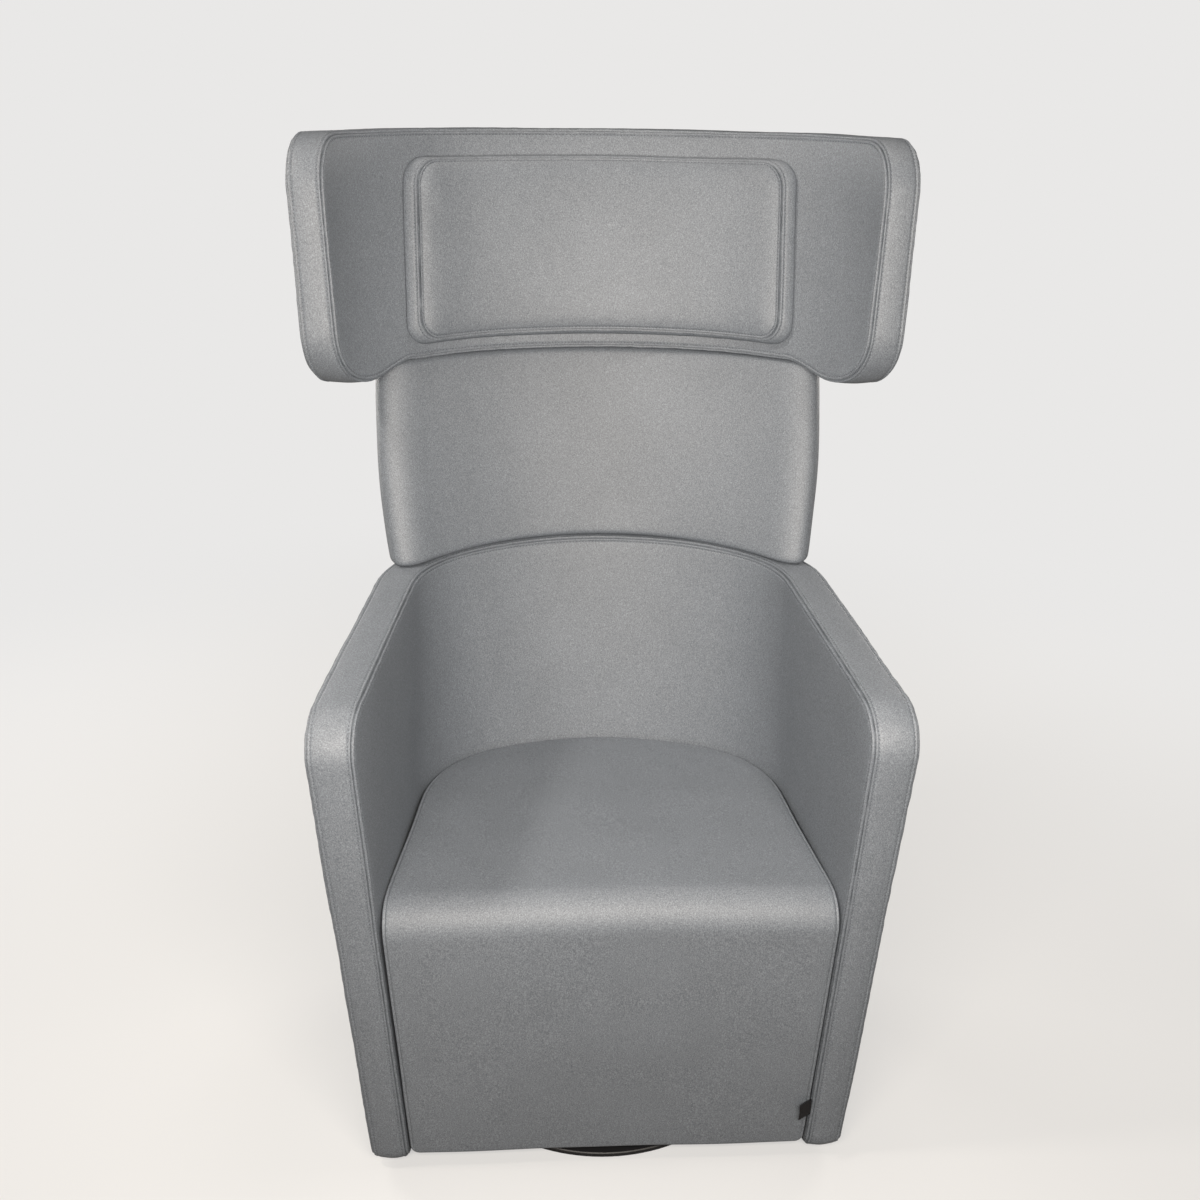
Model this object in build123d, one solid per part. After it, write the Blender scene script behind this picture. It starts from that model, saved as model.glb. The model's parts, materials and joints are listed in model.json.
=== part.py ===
from build123d import *
import os
from collections import namedtuple
from math import atan, cos, hypot, pi, radians, sin, sqrt, tan

# High back lounge chair on a swivel disc. Millimetres, +Z up, front facing -Y. Heights are from
# the floor and depths are from the front plane of the arms. At the end everything above the
# swivel is shifted back by swivel_depth, so that the origin is on the swivel axis at the floor.

# Overall sizes
swivel_depth = 255
shell_bottom = 20
arm_bottom = 6
arm_front_height = 700
arm_slope = 0.135
shell_top = 750
wing_bottom = 1035
wing_tip_bottom = 985
wing_top = 1340
seat_edge_height = 430
seat_crown = 8
cover = 2
body_gap = 0.3

# Horizontal U outlines: a straight tapering side, a corner arc and a back arc
Outline = namedtuple("Outline", "z half_width taper depth back_r corner_r")
shell_inner = [
    Outline(arm_bottom, 281.3, 4.44, 440, 559.3, 149),
    Outline(400, 301, 6.0, 440, 580, 177),
    Outline(shell_top, 318, 8.3, 518, 346, 170),
]
shell_outer = [
    Outline(arm_bottom, 330.6, 4.93, 539.3, 430.5, 230),
    Outline(shell_top, 379, 8.6, 575, 404, 228),
]
wing_inner = [
    Outline(wing_tip_bottom, 395.2, 7.2, 561.7, 480, 290),
    Outline(wing_top, 408, 7.2, 642, 480, 290),
]
wing_outer = [
    Outline(wing_tip_bottom, 441.7, 7.2, 625.7, 500, 310),
    Outline(wing_top, 454.5, 7.2, 706, 500, 310),
]
seat_sides = [
    Outline(shell_bottom, 271.5, 3.0, 470, 600, 60),
    Outline(shell_top, 318, 6.0, 470, 600, 60),
]

# The middle panel is an arc with rounded ends: middle radius, centre depth, half angle
Arc = namedtuple("Arc", "z radius centre half_angle")
band_levels = [
    Arc(shell_top + body_gap, 356.5, 188, 52.0),
    Arc(wing_bottom - body_gap, 476.5, 135, 38.6),
]
band_thickness = 53
band_ply_inset = 15
band_ply_trim = 12

# Side profiles
arm_corner_r = 65
arm_foot_r = 22
arm_foot_depth = 200
wing_front_bottom = 338
wing_front_top = 366
wing_tip_depth = 480
wing_corner_r = 74

# Plywood cores, measured outwards from the inner face
shell_ply_offset = 20
wing_ply_offset = 22
ply_thickness = 12
band_ply_thickness = 10

# Seat
seat_front = 2
waterfall_r = 46
seat_front_foam = 28
seat_rear = 470
panel_bottom = 285
panel_top = 300
rail_thickness = 18
board_bottom = 28
board_top = 46
front_board_depth = 30
front_board_half_width = 255
side_rail_x = 180
rear_rail_depth = 372
dust_cover_thickness = 1.5
spacer_half_width = 90
spacer_bottom, spacer_top = 70, 265
corner_block_leg = 45
corner_block_bottom, corner_block_height = 60, 210
opening_half_width = 150
opening_front, opening_rear = 90, 370
opening_corner_r = 30
strap_width, strap_thickness = 60, 2
strap_columns = (-100, 0, 100)
strap_rows = (110, 190, 270, 350)

# Uprights: one steel bar on each side of the middle, bent to follow the lean of the back
upright_x = 60
upright_width = 40
upright_thickness = 6
upright_line = [(474, 60), (474, 400), (552, 750), (619, 1035), (676.7, 1290)]
bolt_r = 4
bolt_head_r = 7
bolt_head_height = 3
bolt_recess = 1
rail_bolt_heights = (120, 240)
tee_nut_places = [(560, 493), (890, 569), (1120, 612), (1240, 639)]
tee_flange_r, tee_flange = 9, 1.5
tee_barrel_r, tee_barrel = 5.5, 9

# Head cushion
head_bottom = 1054
head_top = 1305
head_half_width = 281
head_side_depth = 472
head_corner_r = 34
head_border = 22
head_shoulder = 31
head_shoulder_rise = 25
head_middle = 36
head_board_near, head_board_far = 7, 12
head_board_half_width = 250
hook_thickness = 1.5
hook_half_width = 25
hook_margin = 40
hook_columns = (-170, 0, 170)

# Seam tag
tag_length = 20
tag_height = 26
tag_thickness = 1
tag_seam_x = 281
tag_bottom = 80
tag_turn = 28

# Swivel
disc_r = 250
disc_bottom = 2
disc_top = 10
disc_edge = 1.2
pad_r = 240
ring_inner_r = 115
ring_outer_r = 160
ring_thickness = 5
ball_circle_r = 137.5
ball_r = 5
race_clearance = 0.06
ball_count = 24
cage_half_width = 6.5
cage_half_height = 1.4
cage_gap = 0.6
pocket_clearance = 0.05
race_height = disc_top + ring_thickness + cage_half_height + cage_gap
ring_screw_count = 8
ring_screw_head_r, ring_screw_head = 4.8, 2.3
ring_screw_r = 2.5
lower_screw_circle = 124
upper_screw_circle = 151
plate_size = 300
plate_bottom = 24
plate_bolt_offset = 135
plate_corner_r = 20
plate_hole_r = 60
plate_bolt_head_r, plate_bolt_head = 7, 5
nut_flange_r, nut_flange = 10, 2
nut_barrel_r, nut_barrel = 5.5, 12

body_shift = Location((0, -swivel_depth, 0))
wide = 500


def grow(outline, distance):
    """The outline offset outwards by a distance, with its arcs kept concentric."""
    return outline._replace(
        half_width=outline.half_width + distance / cos(radians(outline.taper)),
        depth=outline.depth + distance,
        back_r=outline.back_r + distance,
        corner_r=outline.corner_r + distance,
    )


def between(levels, z):
    """The outline at a height between the first and the last of two levels."""
    low, high = levels[0], levels[-1]
    share = (z - low.z) / (high.z - low.z)
    return Outline(*[a + share * (b - a) for a, b in zip(low, high)])


def corner_points(outline):
    """Side tangent point, corner middle and back tangent point on the +X side."""
    slope = radians(outline.taper)
    along = Vector(-sin(slope), cos(slope))
    inward = Vector(-cos(slope), -sin(slope))
    start = Vector(outline.half_width, 0) + inward * outline.corner_r
    back_centre = Vector(0, outline.depth - outline.back_r)
    gap = start - back_centre
    reach = outline.back_r - outline.corner_r
    mid = gap.dot(along)
    distance = -mid + sqrt(mid * mid - gap.dot(gap) + reach * reach)
    centre = start + along * distance
    side = centre - inward * outline.corner_r
    outward = (centre - back_centre).normalized()
    back = back_centre + outward * outline.back_r
    middle = centre + ((side - centre) + (back - centre)).normalized() * outline.corner_r
    return side, middle, back


def outline_wire(outline, start=-60):
    """Closed U outline at its height, with a straight front edge well ahead of the chair."""
    side, middle, back = corner_points(outline)
    front_x = outline.half_width - start * tan(radians(outline.taper))

    def at(x, y):
        return Vector(x, y, outline.z)

    edges = [
        Edge.make_line(at(-front_x, start), at(front_x, start)),
        Edge.make_line(at(front_x, start), at(side.X, side.Y)),
        Edge.make_three_point_arc(at(side.X, side.Y), at(middle.X, middle.Y), at(back.X, back.Y)),
        Edge.make_three_point_arc(at(back.X, back.Y), at(0, outline.depth), at(-back.X, back.Y)),
        Edge.make_three_point_arc(
            at(-back.X, back.Y), at(-middle.X, middle.Y), at(-side.X, side.Y)
        ),
        Edge.make_line(at(-side.X, side.Y), at(-front_x, start)),
    ]
    return Wire(edges)


def block(levels, distance=0):
    """Solid filling the outlines, grown by a distance."""
    return Solid.make_loft([outline_wire(grow(level, distance)) for level in levels], True)


def wall(outer, inner, outer_step=0, inner_step=0):
    """U-shaped wall between two sets of outlines."""
    return block(outer, outer_step) - block(inner, inner_step)


def layer(levels, near, far):
    """U-shaped sheet between two distances from the same outlines."""
    return block(levels, far) - block(levels, near)


def rounded_wire(points, radii):
    """Closed wire through 3-D points, with an arc of its radius at each corner."""
    edges = []
    ends = []
    count = len(points)
    for i, radius in enumerate(radii):
        corner = Vector(*points[i])
        before = (Vector(*points[i - 1]) - corner).normalized()
        after = (Vector(*points[(i + 1) % count]) - corner).normalized()
        half = before.get_angle(after) / 2
        if radius <= 0 or half > 89.9:
            ends.append((corner, corner))
            continue
        run = radius / tan(radians(half))
        first = corner + before * run
        last = corner + after * run
        centre = corner + (before + after).normalized() * (radius / sin(radians(half)))
        middle = centre + (corner - centre).normalized() * radius
        edges.append(Edge.make_three_point_arc(first, middle, last))
        ends.append((first, last))
    for i in range(count):
        start, end = ends[i - 1][1], ends[i][0]
        edges.append(Edge.make_line(start, end))
    return Wire(edges)


def side_block(points, radii, half_span=wide):
    """Solid with a side profile of (depth, height) points, wide in X."""
    wire = rounded_wire([(-half_span, y, z) for y, z in points], radii)
    return Solid.extrude(Face(wire), Vector(2 * half_span, 0, 0))


def front_block(points, radii, far=900):
    """Solid with a front profile of (x, height) points, deep in Y."""
    wire = rounded_wire([(x, -100, z) for x, z in points], radii)
    return Solid.extrude(Face(wire), Vector(0, far, 0))


def box(x0, x1, y0, y1, z0, z1):
    """Box between two corners."""
    return Solid.make_box(x1 - x0, y1 - y0, z1 - z0, Plane((x0, y0, z0)))


def tube(radius, bottom, top, x=0, y=0):
    """Upright cylinder."""
    return Solid.make_cylinder(radius, top - bottom, Plane((x, y, bottom)))


def level_pin(radius, x, z, near, far):
    """Cylinder along Y between two depths."""
    return Solid.make_cylinder(radius, far - near, Plane((x, near, z), z_dir=(0, 1, 0)))


def around(count, radius, make, turn=0):
    """Copies of a solid round the swivel axis."""
    copies = []
    for i in range(count):
        angle = 2 * pi * (i + turn) / count
        copies.append(make(radius * cos(angle), radius * sin(angle)))
    return copies


def solids_of(shape):
    """The solids in a shape, as a list."""
    if isinstance(shape, (list, tuple, ShapeList)):
        return [solid for item in shape for solid in solids_of(item)]
    return list(shape.solids())


def cut(shape, tools):
    """The shape with every tool solid removed."""
    for tool in solids_of(tools):
        shape = shape - tool
    return shape


def save(name, shape, shift=True):
    """Write one sub-part, and move what sits on the swivel to its place."""
    solids = solids_of(shape)
    if shift:
        solids = [solid.moved(body_shift) for solid in solids]
    result = solids[0] if len(solids) == 1 else Compound(children=solids)
    export_step(result, f"parts/{name}.step")
    print(f"{name}: {len(solids)} solid(s), {sum(s.volume for s in solids) / 1000:.1f} cm3")


# ---------------------------------------------------------------- swivel base


def screw(x, y, head_z, tip_z):
    """Countersunk screw, its flat head at head_z and its tip at tip_z."""
    way = 1 if tip_z > head_z else -1
    start = Plane((x, y, head_z), z_dir=(0, 0, way))
    head = Solid.make_cone(ring_screw_head_r, ring_screw_r, ring_screw_head, start)
    low, high = sorted((head_z + way * ring_screw_head, tip_z))
    return head + tube(ring_screw_r, low, high, x, y)


def ring(bottom):
    """Bearing ring with a ball race."""
    blank = tube(ring_outer_r, bottom, bottom + ring_thickness)
    blank = blank - tube(ring_inner_r, bottom - 1, bottom + ring_thickness + 1)
    race = Solid.make_torus(ball_circle_r, ball_r + race_clearance, Plane((0, 0, race_height)))
    return blank - race


def make_base():
    """Floor pad, disc and lower ring, with the ring's screws."""
    ring_top = disc_top + ring_thickness
    screws = around(
        ring_screw_count, lower_screw_circle, lambda x, y: screw(x, y, ring_top, disc_bottom + 2)
    )
    disc = tube(disc_r, disc_bottom, disc_top)
    rims = disc.edges().filter_by(GeomType.CIRCLE)
    disc = disc.chamfer(disc_edge, disc_edge, rims)
    save("floor_pad", tube(pad_r, 0, disc_bottom), False)
    save("base_disc", cut(disc, screws), False)
    save("lower_ring", cut(ring(disc_top), screws), False)
    save("lower_ring_screws", screws, False)


def make_cage():
    """Ball cage and balls."""
    low, high = race_height - cage_half_height, race_height + cage_half_height
    cage = tube(ball_circle_r + cage_half_width, low, high)
    cage = cage - tube(ball_circle_r - cage_half_width, low - 1, high + 1)
    pocket_r = ball_r + pocket_clearance
    pockets = around(
        ball_count, ball_circle_r, lambda x, y: tube(pocket_r, low - 1, high + 1, x, y)
    )
    balls = around(
        ball_count, ball_circle_r, lambda x, y: Solid.make_sphere(ball_r, Plane((x, y, race_height)))
    )
    save("ball_cage", cut(cage, pockets), False)
    save("bearing_balls", balls, False)


def plate_corners(make):
    """One solid at each corner bolt of the top plate."""
    offset = plate_bolt_offset
    return [make(x, y) for x in (-offset, offset) for y in (-offset, offset)]


def make_swivel_top():
    """Upper ring, top plate and their screws and bolts; returns what the board must clear."""
    ring_bottom = plate_bottom - ring_thickness
    screws = around(
        ring_screw_count,
        upper_screw_circle,
        lambda x, y: screw(x, y, ring_bottom, board_bottom),
        0.5,
    )
    bolts = plate_corners(
        lambda x, y: tube(plate_bolt_head_r, plate_bottom - plate_bolt_head, plate_bottom, x, y)
        + tube(bolt_r, plate_bottom, board_top + nut_flange, x, y)
    )
    nuts = plate_corners(
        lambda x, y: tube(nut_flange_r, board_top, board_top + nut_flange, x, y)
        + tube(nut_barrel_r, board_top - nut_barrel, board_top, x, y)
    )
    half = plate_size / 2
    corners = [(-half, -half), (half, -half), (half, half), (-half, half)]
    outline = rounded_wire([(x, y, plate_bottom) for x, y in corners], [plate_corner_r] * 4)
    plate = Solid.extrude(Face(outline), Vector(0, 0, board_bottom - plate_bottom))
    plate = plate - tube(plate_hole_r, plate_bottom - 1, board_bottom + 1)
    save("upper_ring", cut(ring(ring_bottom), screws), False)
    save("upper_ring_screws", screws, False)
    save("top_plate", cut(cut(plate, screws), bolts), False)
    save("top_plate_bolts", bolts, False)
    save("top_plate_nuts", [cut(nut, bolt) for nut, bolt in zip(nuts, bolts)], False)
    back_to_front = Location((0, swivel_depth, 0))
    return [solid.moved(back_to_front) for solid in bolts + nuts]


# ---------------------------------------------------------------- seat


def seat_shape(inset):
    """Crowned seat with a waterfall front, inset evenly from its visible faces."""
    wires = []
    for x, drop in ((-320, 1.0), (-160, 0.3), (0, 0.0), (160, 0.3), (320, 1.0)):
        top = seat_edge_height + seat_crown * (1 - drop) - inset
        front = seat_front + inset
        radius = waterfall_r - inset
        bend = radius * (1 - sqrt(0.5))
        inside = seat_front + seat_front_foam

        def at(y, z):
            return Vector(x, y, z)

        edges = [
            Edge.make_line(at(front, shell_bottom + 2), at(front, top - radius)),
            Edge.make_three_point_arc(
                at(front, top - radius), at(front + bend, top - bend), at(front + radius, top)
            ),
            Edge.make_three_point_arc(
                at(front + radius, top), at(260, top + 2), at(seat_rear, top - 3)
            ),
            Edge.make_line(at(seat_rear, top - 3), at(seat_rear, panel_top)),
            Edge.make_line(at(seat_rear, panel_top), at(inside, panel_top)),
            Edge.make_line(at(inside, panel_top), at(inside, shell_bottom + 2)),
            Edge.make_line(at(inside, shell_bottom + 2), at(front, shell_bottom + 2)),
        ]
        wires.append(Wire(edges))
    shape = Solid.make_loft(wires, False)
    return shape & block(shell_inner, -1 - inset) & block(seat_sides, -inset)


def webbing():
    """Lengthwise straps, and the crosswise straps that lie on them."""
    half = strap_width / 2
    front, rear = opening_front - half, opening_rear + half
    side = opening_half_width + half
    low, mid, high = (panel_top + i * strap_thickness for i in range(3))
    lengthwise = [box(x - half, x + half, front, rear, low, mid) for x in strap_columns]
    crosswise = [box(-side, side, y - half, y + half, mid, high) for y in strap_rows]
    return lengthwise, crosswise


def make_seat(clearances, rear_bolts):
    """Seat frame, panel, webbing, foam and cover."""
    inside = block(shell_inner, -2)
    ahead = front_board_depth
    rail_front = ahead + rail_thickness
    rear = rear_rail_depth + rail_thickness
    board = inside & box(-wide, wide, ahead, 600, board_bottom, board_top)
    save("bottom_board", cut(board, clearances))
    sheet_bottom = board_bottom - dust_cover_thickness
    sheet = inside & box(-wide, wide, ahead, 600, sheet_bottom, board_bottom)
    window = plate_size / 2 + 5
    hole = box(-window, window, swivel_depth - window, swivel_depth + window, 20, board_top)
    save("dust_cover", sheet - hole)
    half = front_board_half_width
    save("front_board", box(-half, half, ahead, rail_front, board_top, panel_bottom))
    for name, side in (("left_rail", -1), ("right_rail", 1)):
        x0, x1 = sorted((side * side_rail_x, side * (side_rail_x + rail_thickness)))
        save(name, box(x0, x1, rail_front, rear, board_top, panel_bottom))
    rear_rail = box(-side_rail_x, side_rail_x, rear_rail_depth, rear, board_top, panel_bottom)
    save("rear_rail", cut(rear_rail, rear_bolts + clearances))
    spacer = box(-spacer_half_width, spacer_half_width, rear, 600, spacer_bottom, spacer_top)
    spacer = spacer & block(shell_inner, -0.5)
    save("rear_spacer_block", cut(spacer, rear_bolts))
    save("corner_blocks", corner_blocks(rail_front))
    panel = inside & box(-wide, wide, ahead, 600, panel_bottom, panel_top)
    side = opening_half_width
    ends = [(-side, opening_front), (side, opening_front), (side, opening_rear), (-side, opening_rear)]
    opening = rounded_wire([(x, y, 0) for x, y in ends], [opening_corner_r] * 4)
    panel = panel - Solid.extrude(Face(opening), Vector(0, 0, 400))
    save("seat_panel", panel)
    lengthwise, crosswise = webbing()
    save("webbing_lengthwise", lengthwise)
    save("webbing_crosswise", crosswise)
    foam = seat_shape(cover)
    save("seat_cover", seat_shape(0) - foam)
    save("seat_foam", cut(cut(foam, lengthwise), crosswise))


def corner_blocks(front):
    """Triangular blocks glued into the corners of the seat frame."""
    leg = corner_block_leg
    bottom = corner_block_bottom
    blocks = []
    for side in (-1, 1):
        for y, step in ((front, 1), (rear_rail_depth, -1)):
            x = side * side_rail_x
            points = [(x, y, bottom), (x - side * leg, y, bottom), (x, y + step * leg, bottom)]
            face = Face(rounded_wire(points, [0, 0, 0]))
            blocks.append(Solid.extrude(face, Vector(0, 0, corner_block_height)))
    return blocks


# ---------------------------------------------------------------- shells and panels


def lower_profile(inset):
    """Side profile of the lower shell: upright arm fronts, sloping arm tops, level back.

    The underside drops a little towards the front, outside the floor disc.
    """
    lean = atan(arm_slope)
    front_z = arm_front_height - inset / cos(lean)
    kink = (shell_top - inset - front_z) / arm_slope
    drop = (shell_bottom - arm_bottom) / arm_foot_depth
    foot_z = arm_bottom + inset * hypot(1, drop)
    points = [
        (inset, foot_z + drop * inset),
        (inset, front_z + arm_slope * inset),
        (kink, shell_top - inset),
        (800, shell_top - inset),
        (800, shell_bottom + inset),
        ((shell_bottom + inset - foot_z) / drop, shell_bottom + inset),
    ]
    return side_block(points, [arm_foot_r - inset, arm_corner_r - inset, 0, 0, 0, 0])


def wing_profile(inset):
    """Side profile of the wing, with round front corners and a lower tip in front of the back."""
    height = wing_top - wing_tip_bottom
    lean = (wing_front_top - wing_front_bottom) / height
    front = wing_front_bottom + inset * hypot(1, lean)
    drop = (wing_bottom - wing_tip_bottom) / (wing_tip_depth - wing_front_bottom)
    under = wing_tip_bottom + inset * hypot(1, drop) - drop * wing_front_bottom
    tip_z = (under + drop * (front - lean * wing_tip_bottom)) / (1 - drop * lean)
    points = [
        (front + lean * (tip_z - wing_tip_bottom), tip_z),
        (front + lean * (height - inset), wing_top - inset),
        (900, wing_top - inset),
        (900, wing_bottom + inset),
        ((wing_bottom + inset - under) / drop, wing_bottom + inset),
    ]
    return side_block(points, [wing_corner_r - inset, wing_corner_r - inset, 0, 0, 0])


def make_shell(name, outer, inner, profile, ply_offset, fixings, lowest_ply):
    """One upholstered U wall: plywood core, foam, two covers and the strip round its edge."""
    whole, inset = profile(0), profile(cover)
    ply = layer(inner, ply_offset, ply_offset + ply_thickness) & profile(ply_offset)
    ply = ply & box(-wide, wide, -100, 900, lowest_ply, 2000)
    foam = wall(outer, inner, -cover, cover) & inset
    foam = cut(foam - ply, fixings)
    save(f"{name}_ply", cut(ply, fixings))
    save(f"{name}_foam", foam)
    save(f"{name}_inner_cover", cut(layer(inner, 0, cover) & inset, fixings))
    save(f"{name}_outer_cover", layer(outer, -cover, 0) & inset)
    save(f"{name}_edge_strip", cut((wall(outer, inner) & whole) - inset, fixings))


def band_wire(level, half_thickness, z, trim=0):
    """Section of the middle panel: an arc with round ends."""
    angle = radians(level.half_angle) - trim / level.radius
    mid, centre_y = level.radius, level.centre
    near, far = mid - half_thickness, mid + half_thickness

    def polar(radius, turn):
        return Vector(radius * sin(turn), centre_y + radius * cos(turn), z)

    edges = []
    for side in (-1, 1):
        cap = polar(mid, side * angle)
        out = Vector(sin(side * angle), cos(side * angle), 0)
        along = Vector(side * cos(angle), -sin(angle), 0)
        tip = cap + along * half_thickness
        diagonal = half_thickness * sqrt(0.5)
        outer_mid = cap + (out + along) * diagonal
        inner_mid = cap + (along - out) * diagonal
        edges.append(Edge.make_three_point_arc(polar(far, side * angle), outer_mid, tip))
        edges.append(Edge.make_three_point_arc(tip, inner_mid, polar(near, side * angle)))
    for radius in (near, far):
        edges.append(
            Edge.make_three_point_arc(polar(radius, -angle), polar(radius, 0), polar(radius, angle))
        )
    return Wire(edges)


def band_solid(half_thickness, inset, trim=0):
    """The middle panel's shape with thinner walls and shorter ends."""
    low, high = band_levels
    wires = []
    for z in (low.z + inset, high.z - inset):
        share = (z - low.z) / (high.z - low.z)
        level = Arc(*[a + share * (b - a) for a, b in zip(low, high)])
        wires.append(band_wire(level, half_thickness, z, trim))
    return Solid.make_loft(wires, True)


def make_band(fixings):
    """Middle back panel: plywood core, foam and cover."""
    half = band_thickness / 2
    whole = band_solid(half, 0)
    inside = band_solid(half - cover, cover)
    ply = band_solid(band_ply_thickness / 2, band_ply_inset, band_ply_trim)
    save("middle_panel_ply", cut(ply, fixings))
    save("middle_panel_foam", cut(inside - ply, fixings))
    save("middle_panel_cover", cut(whole - inside, fixings))


# ---------------------------------------------------------------- uprights


def upright_depth(z):
    """Depth of the uprights' front face at a height."""
    for (y0, z0), (y1, z1) in zip(upright_line, upright_line[1:]):
        if z <= z1:
            return y0 + (y1 - y0) * (z - z0) / (z1 - z0)
    return upright_line[-1][0]


def upright_solids():
    """The two steel bars."""
    back = [(y + upright_thickness, z) for y, z in reversed(upright_line)]
    points = upright_line + back
    bar = side_block(points, [0] * len(points), upright_width / 2)
    return [bar.moved(Location((side * upright_x, 0, 0))) for side in (-1, 1)]


def rear_bolt(x, z, tip):
    """Countersunk bolt through an upright, pointing forward to its tip."""
    rear = upright_depth(z) + upright_thickness - bolt_recess
    head = Solid.make_cone(
        bolt_head_r, bolt_r, bolt_head_height, Plane((x, rear, z), z_dir=(0, -1, 0))
    )
    return head + level_pin(bolt_r, x, z, tip, rear - bolt_head_height)


def tee_nut(x, z, face):
    """Tee nut seated on the front face of a plywood core."""
    flange = level_pin(tee_flange_r, x, z, face - tee_flange, face)
    return flange + level_pin(tee_barrel_r, x, z, face, face + tee_barrel)


def back_fixings():
    """Bolts and tee nuts of the uprights."""
    bolts, nuts = [], []
    for side in (-1, 1):
        x = side * upright_x
        for z in rail_bolt_heights:
            bolts.append(rear_bolt(x, z, rear_rail_depth))
        for z, face in tee_nut_places:
            nuts.append(tee_nut(x, z, face))
            bolts.append(rear_bolt(x, z, face - tee_flange))
    return bolts, nuts


def make_uprights(bars, bolts, nuts):
    """Write the uprights and their fixings."""
    for name, bar in zip(("left_upright", "right_upright"), bars):
        save(name, cut(bar, bolts))
    save("upright_bolts", bolts)
    save("tee_nuts", [cut(nut, bolts) for nut in nuts])


# ---------------------------------------------------------------- head cushion


def head_levels(front_offset):
    """Wing inner outlines moved inwards by an offset that changes with height."""
    levels = []
    for z, offset in front_offset:
        levels.append(grow(between(wing_inner, z)._replace(z=z), -offset))
    return levels


def head_shape(inset):
    """Curved pad on the wing's inner face, with a crown and square-cut ends."""
    low, high = head_bottom + inset, head_top - inset
    middle = (low + high) / 2
    back = block(wing_inner, -hook_thickness - inset)
    thickness = [
        (low, head_border),
        (low + head_shoulder_rise, head_shoulder),
        (middle, head_middle),
        (high - head_shoulder_rise, head_shoulder),
        (high, head_border),
    ]
    front = Solid.make_loft(
        [outline_wire(level) for level in head_levels([(z, t - inset) for z, t in thickness])], True
    )
    ends = []
    for z in (wing_bottom, wing_top):
        lean = between(wing_inner, z).depth - between(wing_inner, wing_bottom).depth
        side, y = head_half_width - inset * sqrt(2), head_side_depth + lean
        reach = 180
        points = [
            (-side - reach, y + reach, z),
            (side + reach, y + reach, z),
            (side - reach, y - reach, z),
            (-side + reach, y - reach, z),
        ]
        ends.append(rounded_wire(points, [0] * 4))
    half = head_half_width - inset
    face = front_block(
        [(-half, low), (half, low), (half, high), (-half, high)], [head_corner_r - inset] * 4
    )
    return (back - front) & Solid.make_loft(ends, True) & face


def make_head_cushion():
    """Head cushion: stiff board, foam, cover and the hook-and-loop strips behind it."""
    low, high = head_bottom + hook_margin, head_top - hook_margin
    half = hook_half_width
    strip_zone = [box(x - half, x + half, 300, 900, low, high) for x in hook_columns]
    sheet = layer(wing_inner, -hook_thickness, 0)
    save("hook_and_loop", [sheet & zone for zone in strip_zone])
    inside = head_shape(cover)
    board = layer(wing_inner, -head_board_far, -head_board_near) & head_shape(cover + 4)
    low, high = head_bottom + head_shoulder_rise, head_top - head_shoulder_rise
    board = board & box(-head_board_half_width, head_board_half_width, 300, 900, low, high)
    save("head_cushion_board", board)
    save("head_cushion_foam", inside - board)
    save("head_cushion_cover", head_shape(0) - inside)


def make_tag():
    """Blank woven tag in the seam beside the seat front, folded over to one side."""
    tag = Solid.make_box(tag_length, tag_thickness, tag_height)
    place = Location((tag_seam_x, -0.4, tag_bottom), (0, 0, 180 + tag_turn))
    save("seam_tag", tag.moved(place))


def main():
    """Build and write every sub-part."""
    os.makedirs("parts", exist_ok=True)
    make_base()
    make_cage()
    clearances = make_swivel_top()
    bars = upright_solids()
    bolts, nuts = back_fixings()
    fixings = bars + bolts + nuts
    make_seat(clearances, bolts)
    make_shell("lower_shell", shell_outer, shell_inner, lower_profile, shell_ply_offset, fixings, 40)
    make_band(fixings)
    make_shell("wing", wing_outer, wing_inner, wing_profile, wing_ply_offset, fixings, wing_bottom)
    make_uprights(bars, bolts, nuts)
    make_head_cushion()
    make_tag()


main()
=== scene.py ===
import json
import math

import bmesh
import bpy
import numpy as np
from mathutils import Matrix, Vector


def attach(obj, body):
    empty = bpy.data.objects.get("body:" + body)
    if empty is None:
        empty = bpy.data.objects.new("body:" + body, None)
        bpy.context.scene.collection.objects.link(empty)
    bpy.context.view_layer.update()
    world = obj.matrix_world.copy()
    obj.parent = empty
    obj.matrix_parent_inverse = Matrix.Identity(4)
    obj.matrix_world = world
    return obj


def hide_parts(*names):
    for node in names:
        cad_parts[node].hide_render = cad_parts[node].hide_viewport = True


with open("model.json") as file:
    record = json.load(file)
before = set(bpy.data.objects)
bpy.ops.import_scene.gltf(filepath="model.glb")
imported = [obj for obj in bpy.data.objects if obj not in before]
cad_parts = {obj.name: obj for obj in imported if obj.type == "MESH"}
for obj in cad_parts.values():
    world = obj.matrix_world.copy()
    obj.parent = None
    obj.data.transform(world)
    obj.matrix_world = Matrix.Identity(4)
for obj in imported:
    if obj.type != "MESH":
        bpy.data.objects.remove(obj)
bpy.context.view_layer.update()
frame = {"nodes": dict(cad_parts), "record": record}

# Shapes are worked out in millimetres: x to the right, y back from the plane of the arm fronts,
# z up from the floor. toFrame() turns them into the frame's metres.
chairLayout = dict(swivelDepth=255.0, randomSeed=7)

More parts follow.
